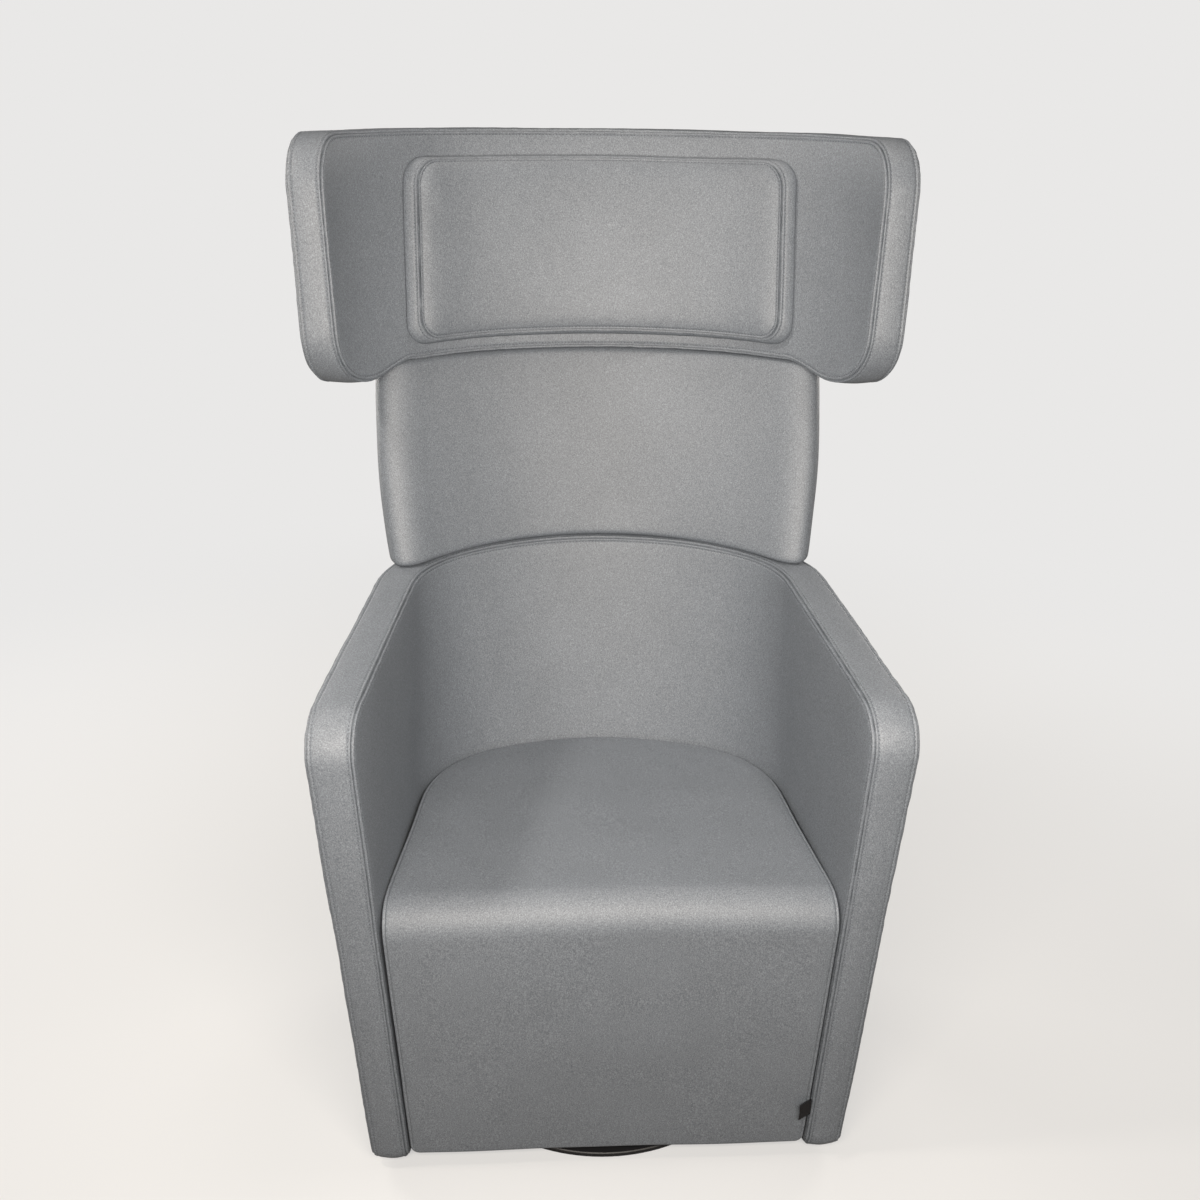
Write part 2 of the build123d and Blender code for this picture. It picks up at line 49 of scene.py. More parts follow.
# Horizontal outlines: height, half width, taper in degrees, depth, back radius, corner radius.
# The anchor is where columns change from following the arcs to following the depth.
shellInner = dict(
    anchor=2.0,
    levels=[
        (6, 279.8, 4.44, 440, 559.3, 149), (400, 301, 6.0, 440, 580, 177),
        (750, 318, 8.3, 518, 346, 170)])
shellOuter = dict(
    anchor=2.0, levels=[(6, 330.6, 4.93, 539.3, 430.5, 230), (750, 379, 8.6, 575, 404, 228)])
wingInner = dict(
    anchor=1.45, levels=[(985, 395.2, 7.2, 561.7, 480, 290), (1340, 408, 7.2, 642, 480, 290)])
wingOuter = dict(
    anchor=1.45, levels=[(985, 441.7, 7.2, 625.7, 500, 310), (1340, 454.5, 7.2, 706, 500, 310)])
headWall = dict(anchor=2.0, levels=wingInner["levels"])
seatSides = [(20, 277.5, 3.0, 470, 600, 60), (750, 318, 6.0, 470, 600, 60)]

# The sewn seam: groove, the two ridges beside it, and the two topstitched dips (mm)
seam = dict(
    groove=3.6, grooveWidth=0.95, ridge=0.9, ridgeAt=2.8, ridgeWidth=1.5, dip=1.1, dipAt=5.6,
    dipWidth=0.9, steps=(0.45, 1.0, 1.8, 2.8, 3.8, 4.8, 5.6, 6.4, 7.6, 9.6), fadeFrom=5.0, fadeIn=25.0)
welt = dict(roll=1.2, rollWidth=1.2, groove=1.2, grooveAt=2.8, grooveWidth=0.9)
thread = dict(pitch=5.0, length=2.7, radius=0.62, rise=0.3, dive=0.9, sides=5, rings=5)


def toFrame(points):
    moved = np.array(points, float) * 0.001
    moved[..., 1] -= chairLayout["swivelDepth"] * 0.001
    return moved


def unit(vectors):
    return vectors / np.linalg.norm(vectors, axis=-1, keepdims=True)


def dot(a, b):
    return (a * b).sum(-1, keepdims=True)


def softMin(a, b, width):
    return (a + b - np.sqrt((a - b) ** 2 + width * width)) / 2


def makeWaves(seed, shortest, longest, count=14):
    # smooth unevenness: random plane waves, the same on every run
    rng = np.random.default_rng(chairLayout["randomSeed"] * 100 + seed)
    lengths = rng.uniform(shortest, longest, count)
    turns = unit(rng.normal(size=(count, 3))) * (2 * np.pi / lengths)[:, None]
    phases = rng.uniform(0, 2 * np.pi, count)

    def waves(points):
        return np.sin(points @ turns.T + phases).sum(-1) / math.sqrt(count / 2)

    return waves


slackWaves = makeWaves(1, 90, 260)
puckerWaves = makeWaves(2, 14, 34)


def grow(level, distance):
    z, half, taper, depth, backRadius, cornerRadius = level
    half += distance / math.cos(math.radians(taper))
    return (z, half, taper, depth + distance, backRadius + distance, cornerRadius + distance)


def outlineAt(level, w):
    # w runs 0..1 over half the back arc and 1..2 over the corner arc to the straight side
    _, half, taper, depth, backRadius, cornerRadius = level
    slope = math.radians(taper)
    along = np.array([-math.sin(slope), math.cos(slope)])
    inward = np.array([-math.cos(slope), -math.sin(slope)])
    start = np.array([half, 0.0]) + inward * cornerRadius
    backCentre = np.array([0.0, depth - backRadius])
    gap = start - backCentre
    reach = backRadius - cornerRadius
    mid = gap @ along
    centre = start + along * (-mid + math.sqrt(mid * mid - gap @ gap + reach * reach))
    out = centre - backCentre
    backAngle = math.atan2(out[1], out[0])
    onBack = w < 1
    angle = np.where(
        onBack, np.pi / 2 + (backAngle - np.pi / 2) * w, backAngle + (slope - backAngle) * (w - 1))
    radius = np.where(onBack, backRadius, cornerRadius)
    x = np.where(onBack, backCentre[0], centre[0]) + radius * np.cos(angle)
    y = np.where(onBack, backCentre[1], centre[1]) + radius * np.sin(angle)
    return np.stack([x, y], -1)


def spanOf(levels, z):
    # the pair of levels round each height, and how far between them it lies
    heights = np.array([level[0] for level in levels], float)
    index = np.clip(np.searchsorted(heights, z) - 1, 0, len(levels) - 2)
    share = (z - heights[index]) / (heights[index + 1] - heights[index])
    return index, share


def mixLevels(levels, z, valueOf):
    index, share = spanOf(levels, z)
    values = np.array([valueOf(level) for level in levels])
    return values[index] * (1 - share) + values[index + 1] * share


def anchorDepth(wall, z):
    # depth at which the columns change from the arcs to following the depth
    return mixLevels(wall["levels"], z, lambda level: outlineAt(level, np.array(wall["anchor"]))[1])


def arcPoint(levels, w, z):
    index, share = spanOf(levels, z)
    arcs = np.stack([outlineAt(level, w) for level in levels])
    places = np.indices(z.shape)
    low, high = arcs[(index, *places)], arcs[(index + 1, *places)]
    return low + (high - low) * share[..., None]


def sideX(levels, y, z):
    half = mixLevels(levels, z, lambda level: level[1])
    taper = mixLevels(levels, z, lambda level: math.tan(math.radians(level[2])))
    return half - y * taper


def sideAt(wall, y, z):
    # x of the right-hand side at a depth, on its straight run or on the corner arc
    straight = sideX(wall["levels"], y, z)
    if wall["anchor"] >= 2:
        return straight
    low, high = np.ones_like(z), np.full_like(z, 2.0)
    for _ in range(26):
        middle = (low + high) / 2
        deeper = arcPoint(wall["levels"], middle, z)[..., 1] > y
        low, high = np.where(deeper, middle, low), np.where(deeper, high, middle)
    arc = arcPoint(wall["levels"], (low + high) / 2, z)[..., 0]
    return np.where(high >= 2, straight, arc)


def wallPoints(wall, side, w, z, y):
    # w over 2 means the place is given by its depth
    side, w, z, y = (np.array(value, float) for value in np.broadcast_arrays(side, w, z, y))
    along = np.where(w < 1, w, 1 + (np.minimum(w, 2) - 1) * (wall["anchor"] - 1))
    points = arcPoint(wall["levels"], along, z)
    byDepth = w > 2
    x = np.where(byDepth, sideAt(wall, y, z), points[..., 0])
    depth = np.where(byDepth, y, points[..., 1])
    return np.stack([side * x, depth, z], -1)


def wallFace(wall, side, w, z, y, facing):
    # points and unit normals; facing +1 looks away from the sitter, -1 towards them
    points = wallPoints(wall, side, w, z, y)
    step, inside = 0.002, 200
    bent = np.where(w > 2, w, np.minimum(w, 2) - step)
    across = points - wallPoints(wall, side, bent, z, np.where(w > 2, y + 0.5, y))
    up = wallPoints(wall, side, w, z + 0.5, y) - points
    normals = unit(np.cross(across, up))
    centre = np.stack([points[..., 0] * 0, points[..., 1] * 0 + inside, points[..., 2]], -1)
    normals = normals * np.sign(dot(normals, points - centre)) * facing
    return points, normals


def seamHeight(x):
    x = np.abs(x)
    lift = seam["ridge"] * np.exp(-(((x - seam["ridgeAt"]) / seam["ridgeWidth"]) ** 2))
    lift -= seam["groove"] * np.exp(-((x / seam["grooveWidth"]) ** 2))
    return lift - seam["dip"] * np.exp(-(((x - seam["dipAt"]) / seam["dipWidth"]) ** 2))


def weltHeight(x):
    # a tight rolled edge: one thin round line with a dark line on each side
    x = np.abs(x)
    lift = welt["roll"] * np.exp(-((x / welt["rollWidth"]) ** 2))
    return lift - welt["groove"] * np.exp(-(((x - welt["grooveAt"]) / welt["grooveWidth"]) ** 2))


def roundCorner(face, out, radius):
    points, normals = face(radius)
    for _ in range(2):
        inset = radius * (1 - dot(normals, out)[:, 0])
        points, normals = face(inset)
    angle = np.arccos(np.clip(dot(normals, out)[:, 0], -0.9, 0.9))
    centre = points - radius[:, None] * normals
    return dict(face=face, out=out, radius=radius, inset=inset, angle=angle, centre=centre,
                normals=normals, half=radius * angle / 2)


def onCorner(corner, x):
    # x from the seam, negative towards the face, within the rounding
    share = np.clip(0.5 + x / (2 * corner["half"]), 0, 1)[:, None]
    angle = corner["angle"][:, None]
    direction = np.sin((1 - share) * angle) * corner["normals"] + np.sin(share * angle) * corner["out"]
    direction = unit(direction)
    points = corner["centre"] + corner["radius"][:, None] * direction
    inset = corner["radius"] * (1 - dot(direction, corner["out"])[:, 0])
    return points, direction, inset


def faceSide(corner, x):
    # x away from the seam over the face
    points, normals, inset = onCorner(corner, -x)
    beyond = corner["inset"] + np.maximum(x - corner["half"], 0) * np.sin(corner["angle"])
    farPoints, farNormals = corner["face"](beyond)
    far = (x > corner["half"])[:, None]
    return (
        np.where(far, farPoints, points), np.where(far, farNormals, normals),
        np.where(far[:, 0], beyond, inset))


def sweepBorder(cushion, faceA, faceB, out, crown):
    # a closed run of sections: face A, rounded edge, strip, rounded edge, face B
    cornerA = roundCorner(faceA, out, cushion["radiusA"])
    cornerB = roundCorner(faceB, out, cushion["radiusB"])
    startA, startB = (one["centre"] + one["radius"][:, None] * out for one in (cornerA, cornerB))
    width = np.linalg.norm(startB - startA, axis=1)
    total = cornerA["half"] + width + cornerB["half"]
    stepsA, stepsB = cushion["stepsA"], cushion["stepsB"]
    columns = []

    def add(points, normals, inset, height):
        columns.append((points, normals, liftAt(cushion, inset) + height))

    def faceColumns(corner, steps, heightOf, strength):
        reach = corner["half"] + (cushion["depth"] - corner["inset"]) / np.sin(corner["angle"])
        count = max(2, round(float(reach.mean() - steps[-1]) / cushion["step"]))
        distances = [np.full(len(reach), step) for step in steps]
        shares = np.linspace(0, 1, count + 1)[1:]
        distances += [steps[-1] + (reach - steps[-1]) * share for share in shares]
        for x in distances[::-1] if corner is cornerA else distances:
            add(*faceSide(corner, x), strength * heightOf(x))

    def stripColumn(p):
        pointsA, normalsA, insetA = onCorner(cornerA, p)
        pointsB, normalsB, insetB = onCorner(cornerB, total - p)
        share = np.clip((p - cornerA["half"]) / width, 0, 1)[:, None]
        middle = startA + (startB - startA) * share + crown[:, None] * 4 * share * (1 - share) * out
        onA, onB = p < cornerA["half"], total - p < cornerB["half"]
        points = np.where(onA[:, None], pointsA, np.where(onB[:, None], pointsB, middle))
        normals = np.where(onA[:, None], normalsA, np.where(onB[:, None], normalsB, out))
        height = cushion["strengthA"] * cushion["edgeA"](p)
        height = height + cushion["strengthB"] * cushion["edgeB"](total - p)
        add(points, normals, np.where(onA, insetA, np.where(onB, insetB, 0)), height)

    faceColumns(cornerA, stepsA, cushion["edgeA"], cushion["strengthA"])
    seamA = len(columns)
    for step in (0,) + stepsA:
        stripColumn(np.full(len(total), float(step)))
    left = total - stepsA[-1] - stepsB[-1]
    count = max(1, round(float(left.mean()) / cushion["step"]))
    for share in np.linspace(0, 1, count + 2)[1:-1]:
        stripColumn(stepsA[-1] + left * share)
    for step in stepsB[::-1] + (0,):
        stripColumn(total - step)
    seamB = len(columns) - 1
    faceColumns(cornerB, stepsB, cushion["edgeB"], cushion["strengthB"])
    points, normals, height = (np.stack(part, 1) for part in zip(*columns))
    points = points + normals * (height + slackAt(cushion, points))[..., None]
    # the rows that carry stitches: the dips on both sides of each sewn seam
    dipped, rows = seam["steps"].index(seam["dipAt"]), []
    for edge, row in (("edgeA", seamA), ("edgeB", seamB)):
        if cushion[edge] is seamHeight:
            rows += [row - 1 - dipped, row + 1 + dipped]
    return points, [(points[:, row], normals[:, row]) for row in rows]


def liftAt(cushion, inset):
    inside = np.maximum(inset - seam["fadeFrom"], 0)
    return cushion["puff"] * (1 - np.exp(-inside / seam["fadeIn"]))


def slackAt(cushion, points):
    return cushion["slack"] * slackWaves(points) + cushion["pucker"] * puckerWaves(points)


def dressPanel(cushion, points, normals, inset):
    return points + normals * (liftAt(cushion, inset) + slackAt(cushion, points))[..., None]


def gridFaces(rows, columns, first, closed):
    index = first + np.arange(rows * columns).reshape(rows, columns)
    if closed:
        index = np.vstack([index, index[:1]])
    corners = (index[:-1, :-1], index[:-1, 1:], index[1:, 1:], index[1:, :-1])
    return np.stack(corners, -1).reshape(-1, 4)


def makePiece(name, grids, material, weld=0.08):
    # grids: (rows x columns x 3 points in mm, closed over the rows); weld: distance in mm
    vertices, faces, first = [], [], 0
    for points, closed in grids:
        rows, columns = points.shape[:2]
        vertices.append(points.reshape(-1, 3))
        faces.append(gridFaces(rows, columns, first, closed))
        first += rows * columns
    mesh = bpy.data.meshes.new(name)
    mesh.from_pydata(toFrame(np.vstack(vertices)).tolist(), [], np.vstack(faces).tolist())
    work = bmesh.new()
    work.from_mesh(mesh)
    bmesh.ops.remove_doubles(work, verts=work.verts, dist=weld * 0.001)
    bmesh.ops.recalc_face_normals(work, faces=work.faces)
    work.to_mesh(mesh)
    work.free()
    return finishPiece(name, mesh, material)


def finishPiece(name, mesh, material, body="chair"):
    mesh.shade_smooth()
    mesh.materials.append(material)
    piece = bpy.data.objects.new(name, mesh)
    bpy.context.scene.collection.objects.link(piece)
    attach(piece, body)
    print(f"{name}: {len(mesh.vertices)} points, {len(mesh.polygons)} faces")
    return piece


def stitchShape():
    # one arched stitch, both ends diving into the cloth: along x, up z
    points = []
    for ring in range(thread["rings"]):
        share = ring / (thread["rings"] - 1) * 2 - 1
        height = thread["rise"] - (thread["rise"] + thread["dive"]) * share**4
        radius = thread["radius"] * (1 - 0.45 * share**4)
        for k in range(thread["sides"]):
            angle = 2 * np.pi * k / thread["sides"]
            points.append((share * thread["length"] / 2, radius * math.cos(angle),
                           height + radius * math.sin(angle)))
    return np.array(points)


def makeStitches(name, runs, material):
    # runs: (points, normals, closed) lines in mm
    shape = stitchShape()
    sides, rings, size = thread["sides"], thread["rings"], len(shape)
    one = gridFaces(rings, sides, 0, False).tolist()
    for k in range(0, size - sides, sides):
        one.append([k + sides - 1, k, k + sides, k + sides + sides - 1])
    one += [list(range(sides))[::-1], list(range(size - sides, size))]
    vertices = []
    for points, normals, closed in runs:
        if closed:
            points, normals = np.vstack([points, points[:1]]), np.vstack([normals, normals[:1]])
        run = np.concatenate([[0], np.cumsum(np.linalg.norm(np.diff(points, axis=0), axis=1))])
        count = int(run[-1] / thread["pitch"])
        places = (np.arange(count) + 0.5) * run[-1] / count

        def at(values, shift=0.0):
            return np.stack([np.interp(places + shift, run, values[:, k]) for k in range(3)], 1)

        up = unit(at(normals))
        along = unit(at(points, 0.5) - at(points, -0.5))
        across = unit(np.cross(up, along))
        for m, a, c, u in zip(at(points), along, across, up):
            vertices.append(m + shape[:, :1] * a + shape[:, 1:2] * c + shape[:, 2:] * u)
    faces = [[k * size + corner for corner in face] for k in range(len(vertices)) for face in one]
    mesh = bpy.data.meshes.new(name)
    mesh.from_pydata(toFrame(np.vstack(vertices)).tolist(), [], faces)
    return finishPiece(name, mesh, material)


def makeProfile(shape):
    # the wall's side profile as lines: the direction each one faces (depth, height) and its place
    lean, rise, drop = (math.atan(shape[key]) for key in ("frontSlope", "topSlope", "bottomSlope"))
    frontOut = np.array([-math.cos(lean), math.sin(lean)])
    topOut = np.array([-math.sin(rise), math.cos(rise)])
    bottomOut = np.array([math.sin(drop), -math.cos(drop)])
    foot = np.array([shape["frontAt"], shape["bottom"]])
    frontLine, bottomLine = foot @ frontOut, foot @ bottomOut
    topLine = np.array([0.0, shape["topAt"]]) @ topOut

    def cornerOf(out, line, radius):
        centre = np.linalg.solve(np.stack([frontOut, out]), [frontLine - radius, line - radius])
        return dict(centre=centre, radius=radius, mitre=(frontOut + out) / (1 + frontOut @ out))

    return dict(
        frontOut=frontOut, frontLine=frontLine,
        top=dict(out=topOut, line=topLine, level=shape["topLevel"], way=1, kink=3.0),
        bottom=dict(out=bottomOut, line=bottomLine, level=shape["bottomLevel"], way=-1, kink=1.0),
        topCorner=cornerOf(topOut, topLine, shape["topRadius"]),
        bottomCorner=cornerOf(bottomOut, bottomLine, shape["bottomRadius"]))


def cornerPoint(corner, inset, out):
    # on the corner's arc while the inset is less than its radius, then on its mitre line
    left = (corner["radius"] - inset)[..., None]
    return corner["centre"] + left * np.where(left > 0, out, corner["mitre"])


def edgeHeight(edge, y, inset):
    # height of the top or bottom edge: sloping at the front, then level; and the slope's share
    out = edge["out"]
    sloping = (edge["line"] - inset - y * out[0]) / out[1]
    if out[0] == 0:
        return sloping, np.ones_like(sloping)
    level = edge["level"] - edge["way"] * inset
    gap = sloping - level
    soft = np.sqrt(gap * gap + edge["kink"] ** 2)
    return (sloping + level - soft) / 2, 0.5 * (1 - gap / soft)


def wallColumns(wall, front, step):
    # one entry per column from the left front round the back to the right front
    low, high = wall["levels"][0], wall["levels"][-1]
    middle = tuple((a + b) / 2 for a, b in zip(low, high))
    knots = outlineAt(middle, np.array([0.0, 1.0, wall["anchor"]]))
    spans = [np.linalg.norm(knots[1] - knots[0]), np.linalg.norm(knots[2] - knots[1]) * 1.08]
    spans.append((knots[2, 1] - front) * 1.08)
    counts = [max(6, round(float(span) / step)) for span in spans]
    w = np.concatenate([np.linspace(k, k + 1, n + 1)[:-1] for k, n in enumerate(counts)] + [[3.0]])
    side = np.concatenate([-np.ones(len(w)), np.ones(len(w) - 1)])
    w = np.concatenate([w[::-1], w[1:]])
    return side, w


def wallLoop(shape, profile):
    # stations right round the wall's edge, with the direction each one faces (y, z); the kinds are
    # 0 front edge, 1 top corner, 2 top edge, 3 bottom corner, 4 bottom edge
    side, w = wallColumns(shape["outer"], shape["frontAt"], shape["step"])
    rows = np.linspace(0, 1, shape["rows"] + 1)
    front, top, bottom = profile["frontOut"], profile["top"]["out"], profile["bottom"]["out"]
    parts, outs = [], []

    def add(kind, side, w, share, out):
        count = np.broadcast(w, share).size
        parts.append([np.broadcast_to(value, count).astype(float) for value in (kind, side, w, share)])
        outs.append(np.broadcast_to(out, (count, 2)))

    def arc(kind, side, other, radius, way):
        count = max(3, round(radius * np.pi / 2 / shape["step"]))
        share = np.linspace(0, 1, count + 1)[1:-1][::way]
        turn = math.acos(front @ other)
        out = np.sin((1 - share) * turn)[:, None] * front + np.sin(share * turn)[:, None] * other
        add(kind, side, 3.0, share, out / math.sin(turn))

    add(0, -1, 3.0, rows, front)
    arc(1, -1, top, shape["topRadius"], 1)
    add(2, side, w, 0, top)
    arc(1, 1, top, shape["topRadius"], -1)
    add(0, 1, 3.0, rows[::-1], front)
    arc(3, 1, bottom, shape["bottomRadius"], 1)
    add(4, side[::-1], w[::-1], 0, bottom)
    arc(3, -1, bottom, shape["bottomRadius"], -1)
    kind, side, w, share = (np.concatenate(values) for values in zip(*parts))
    return dict(kind=kind, side=side, w=w, share=share, out=np.concatenate(outs))


def placeStations(shape, profile, loop, wall, inset):
    # depth and height of each station at an inset from the wall's edge, and the slope's share
    inset = np.broadcast_to(inset, loop["w"].shape).astype(float)
    kind, w, share = loop["kind"], loop["w"], loop["share"]
    topCorner, bottomCorner = profile["topCorner"], profile["bottomCorner"]
    low = cornerPoint(bottomCorner, inset, profile["frontOut"])
    high = cornerPoint(topCorner, inset, profile["frontOut"])
    place = low + (high - low) * share[:, None]
    place = np.where((kind == 1)[:, None], cornerPoint(topCorner, inset, loop["out"]), place)
    place = np.where((kind == 3)[:, None], cornerPoint(bottomCorner, inset, loop["out"]), place)
    y, z = place.T
    topStart = cornerPoint(topCorner, inset, profile["top"]["out"])[:, 0]
    bottomStart = cornerPoint(bottomCorner, inset, profile["bottom"]["out"])[:, 0]
    onTop, onBottom = kind == 2, kind == 4
    start = np.where(onTop, topStart, bottomStart)
    z = np.where(onTop, shape["topAt"], np.where(onBottom, shape["bottom"], z))
    slopeShare = np.ones_like(z)
    for _ in range(5):
        anchor = anchorDepth(wall, z)
        lineY = anchor + (start - anchor) * (w - 2)
        arcY = wallPoints(wall, loop["side"], np.minimum(w, 2), z, z)[:, 1]
        y = np.where(onTop | onBottom, np.where(w > 2, lineY, arcY), y)
        for on, edge in ((onTop, profile["top"]), (onBottom, profile["bottom"])):
            height, sloping = edgeHeight(edge, y, inset)
            z, slopeShare = np.where(on, height, z), np.where(on, sloping, slopeShare)
    return y, z, slopeShare


def edgeDistance(profile, w, y, z):
    # how far points of a face lie inside the wall's edge
    front, top, bottom = profile["frontOut"], profile["top"], profile["bottom"]
    toFront = np.where(w > 2, profile["frontLine"] - y * front[0] - z * front[1], 1e3)
    toTop = (edgeHeight(top, y, 0.0)[0] - z) * top["out"][1]
    toBottom = (edgeHeight(bottom, y, 0.0)[0] - z) * bottom["out"][1]
    return np.minimum(np.minimum(toFront, toTop), toBottom)


def wallPanel(shape, profile, loop, wall, facing):
    # the rows and columns that fill one face inside its border
    depth = np.full(len(loop["w"]), shape["depth"])
    onTop = loop["kind"] == 2
    _, edge, _ = placeStations(shape, profile, loop, wall, depth)
    bottom, top = edge[loop["kind"] == 4][::-1], edge[onTop]
    side, w = loop["side"][onTop], loop["w"][onTop]
    rows = np.linspace(0, 1, shape["rows"] + 1)[:, None]
    z = bottom + (top - bottom) * rows
    anchor = anchorDepth(wall, z)
    low = cornerPoint(profile["bottomCorner"], depth, profile["bottom"]["out"])[0, 0]
    high = cornerPoint(profile["topCorner"], depth, profile["top"]["out"])[0, 0]
    y = anchor + (low + (high - low) * rows - anchor) * (w - 2)
    points, normals = wallFace(wall, side, w, z, y, facing)
    inset = edgeDistance(profile, np.broadcast_to(w, z.shape), points[..., 1], z)
    return dressPanel(shape, points, normals, inset)


def buildWall(shape, name, nodes, cloth, threadMaterial):
    profile = makeProfile(shape)
    loop = wallLoop(shape, profile)
    slopeShare = placeStations(shape, profile, loop, shape["inner"], 0.0)[2]
    out = loop["out"].copy()
    for kind, edge in ((2, profile["top"]), (4, profile["bottom"])):
        on = loop["kind"] == kind
        out[on] = slopeShare[on, None] * edge["out"]
        out[on, 1] += edge["way"] * (1 - slopeShare[on])
    out = unit(np.column_stack([np.zeros(len(out)), out]))

    def face(wall, facing):
        def at(inset):
            y, z, _ = placeStations(shape, profile, loop, wall, inset)
            return wallFace(wall, loop["side"], loop["w"], z, y, facing)

        return at

    under = np.select([loop["kind"] == 3, loop["kind"] == 4], [loop["share"], 1.0], 0.0)
    under = under * under * (3 - 2 * under)
    shape["radiusA"] = shape["edge"] + (shape["underInner"] - shape["edge"]) * under
    shape["radiusB"] = shape["edge"] + (shape["underOuter"] - shape["edge"]) * under
    wobble = 1 + 0.2 * puckerWaves(np.column_stack([np.arange(len(under)) * 5.0] * 3))
    shape["strengthA"] = shape["strengthB"] = (1 - shape["plainUnder"] * under) * wobble
    crown = np.full(len(under), shape["crown"])
    points, rows = sweepBorder(shape, face(shape["inner"], -1), face(shape["outer"], 1), out, crown)
    inner = wallPanel(shape, profile, loop, shape["inner"], -1)
    outer = wallPanel(shape, profile, loop, shape["outer"], 1)
    piece = makePiece(name, [(points, True), (inner, False), (outer, False)], cloth)
    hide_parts(*nodes)
    under = np.flatnonzero(loop["kind"] == 4)
    order = np.r_[under[-1] + 1:len(out), 0:under[0]] if shape["plainUnder"] else np.arange(len(out))
    runs = [(line[order], facing[order], not shape["plainUnder"]) for line, facing in rows]
    makeStitches(name + "Stitching", runs, threadMaterial)
    return piece


# Both walls: depth is the width of the sewn border, edge the radius of its rounded edges, and
# underInner and underOuter those radii underneath; slopes are rise over run.
wallSewing = dict(
    edgeA=seamHeight, edgeB=seamHeight, stepsA=seam["steps"], stepsB=seam["steps"], step=7.5,
    pucker=0.08)
lowerShell = dict(
    wallSewing, inner=shellInner, outer=shellOuter, frontAt=0.0, frontSlope=0.0, topAt=700.0,
    topSlope=0.135, topLevel=750.0, bottom=6.0, bottomSlope=14.0 / 200.0, bottomLevel=20.0,
    topRadius=65.0, bottomRadius=22.0, depth=65.0, edge=9.0, underInner=6.0, underOuter=22.0,
    plainUnder=1.0, crown=1.6, puff=1.7, slack=0.4, rows=72)
wing = dict(
    wallSewing, inner=wingInner, outer=wingOuter, frontAt=338.0, frontSlope=28.0 / 355.0, topAt=1340.0,
    topSlope=0.0, topLevel=1340.0, bottom=985.0, bottomSlope=50.0 / 142.0, bottomLevel=1035.0,
    topRadius=74.0, bottomRadius=74.0, depth=74.0, edge=7.0, underInner=7.0, underOuter=7.0,
    plainUnder=0.0, crown=1.5, puff=1.5, slack=0.35, rows=30)


# bow: depth and rise of the seat's middle line, which a parabola follows
seat = dict(
    front=2.0, bottom=22.0, waterfall=46.0, edgeHeight=430.0, crown=8.0,
    bow=((48.0, 0.0), (260.0, 2.0), (470.0, -3.0)), clearance=5.5, frontTighter=2.8,
    tighterSpan=(48.0, 180.0), cornerRadius=13.0, frontInside=29.8, topInside=305.0, underLevel=300.0,
    depth=13.0, step=7.0, puff=1.2, slack=0.5, pucker=0.0, edgeA=weltHeight, edgeB=lambda x: 0 * x,
    stepsA=(0.5, 1.1, 1.8, 2.5, 3.3, 4.2, 5.2, 7.0), stepsB=(2.0,),
    stations=dict(front=52, waterfall=12, top=54, across=72, corner=5), straightShare=0.66,
    sideTaper=4.5, sideLean=-0.064, seamRadius=8.0, underRadius=6.0, hiddenRadius=3.0,
    hiddenWidth=0.978)


def seatTop(x, y):
    spread = (x / 320.0) ** 2
    drop = 1.2667 * spread - 0.2667 * spread * spread
    bow = np.polyfit(*zip(*seat["bow"]), 2)
    height = seat["edgeHeight"] + seat["crown"] * (1 - drop)
    return height + np.where(y > seat["bow"][0][0], np.polyval(bow, y), 0.0)


def frontTightness(y):
    # the seat fills more of the gap to the arms near its front
    near, far = seat["tighterSpan"]
    share = np.clip((far - y) / (far - near), 0, 1)
    return seat["frontTighter"] * share * share * (3 - 2 * share)


def rimPlan(side, w, share, inset, level):
    # plan of the seat's edge: inside the shell's inner face and the seat's own sides
    height = np.full(np.shape(w), level)
    shell = [grow(one, -seat["clearance"]) for one in shellInner["levels"]]
    shell = dict(anchor=2.0, levels=shell)
    anchor = anchorDepth(shell, height)
    start = seat["bow"][0][0]
    y = anchor + (start - anchor) * share
    points, normals = wallFace(shell, side, w, height, y, 1)
    flat = normals.copy()
    flat[..., 2] = 0
    flat = unit(flat)
    points = points - flat * inset[..., None]
    points[..., 0] += side * frontTightness(points[..., 1])
    limit = sideX(seatSides, points[..., 1], height) - inset
    points[..., 0] = side * softMin(np.abs(points[..., 0]), limit, 1.5)
    return points, flat


def seatLoop():
    # stations round the seat's edge; the kinds are 0 front, 1 waterfall, 2 top, 3 and 4 underneath
    count = seat["stations"]
    rows, top = (np.linspace(0, 1, count[key] + 1) for key in ("front", "top"))
    fall = np.linspace(0, 1, count["waterfall"] + 1)[1:]
    straight = seat["straightShare"]
    rimShare = np.where(top < straight, 1 - top / straight, 0.0)[1:]
    rimW = np.where(top < straight, 3.0, 2 - 0.5 * (top - straight) / (1 - straight))[1:]
    across = np.linspace(-1, 1, count["across"] + 1)
    arc = np.linspace(0, 1, count["corner"] + 1)[1:-1]
    left = [(0, -1, 3.0, share, 0) for share in rows] + [(1, -1, 3.0, share, 0) for share in fall]
    left += [(2, -1, w, share, 0) for w, share in zip(rimW, rimShare)]
    back = [(2, math.copysign(1, q), 1.5 * abs(q), 0.0, q) for q in across[1:-1]]
    right = [(kind, 1, w, share, 0) for kind, _, w, share, _ in left[::-1]]
    under = [(3, 1, 3.0, share, 0) for share in arc] + [(4, 1, 3.0, 0.0, q) for q in across[::-1]]
    under += [(3, -1, 3.0, share, 0) for share in arc[::-1]]
    kind, side, w, share, q = np.array(left + back + right + under, float).T
    return dict(kind=kind, side=side, w=w, share=share, q=q)


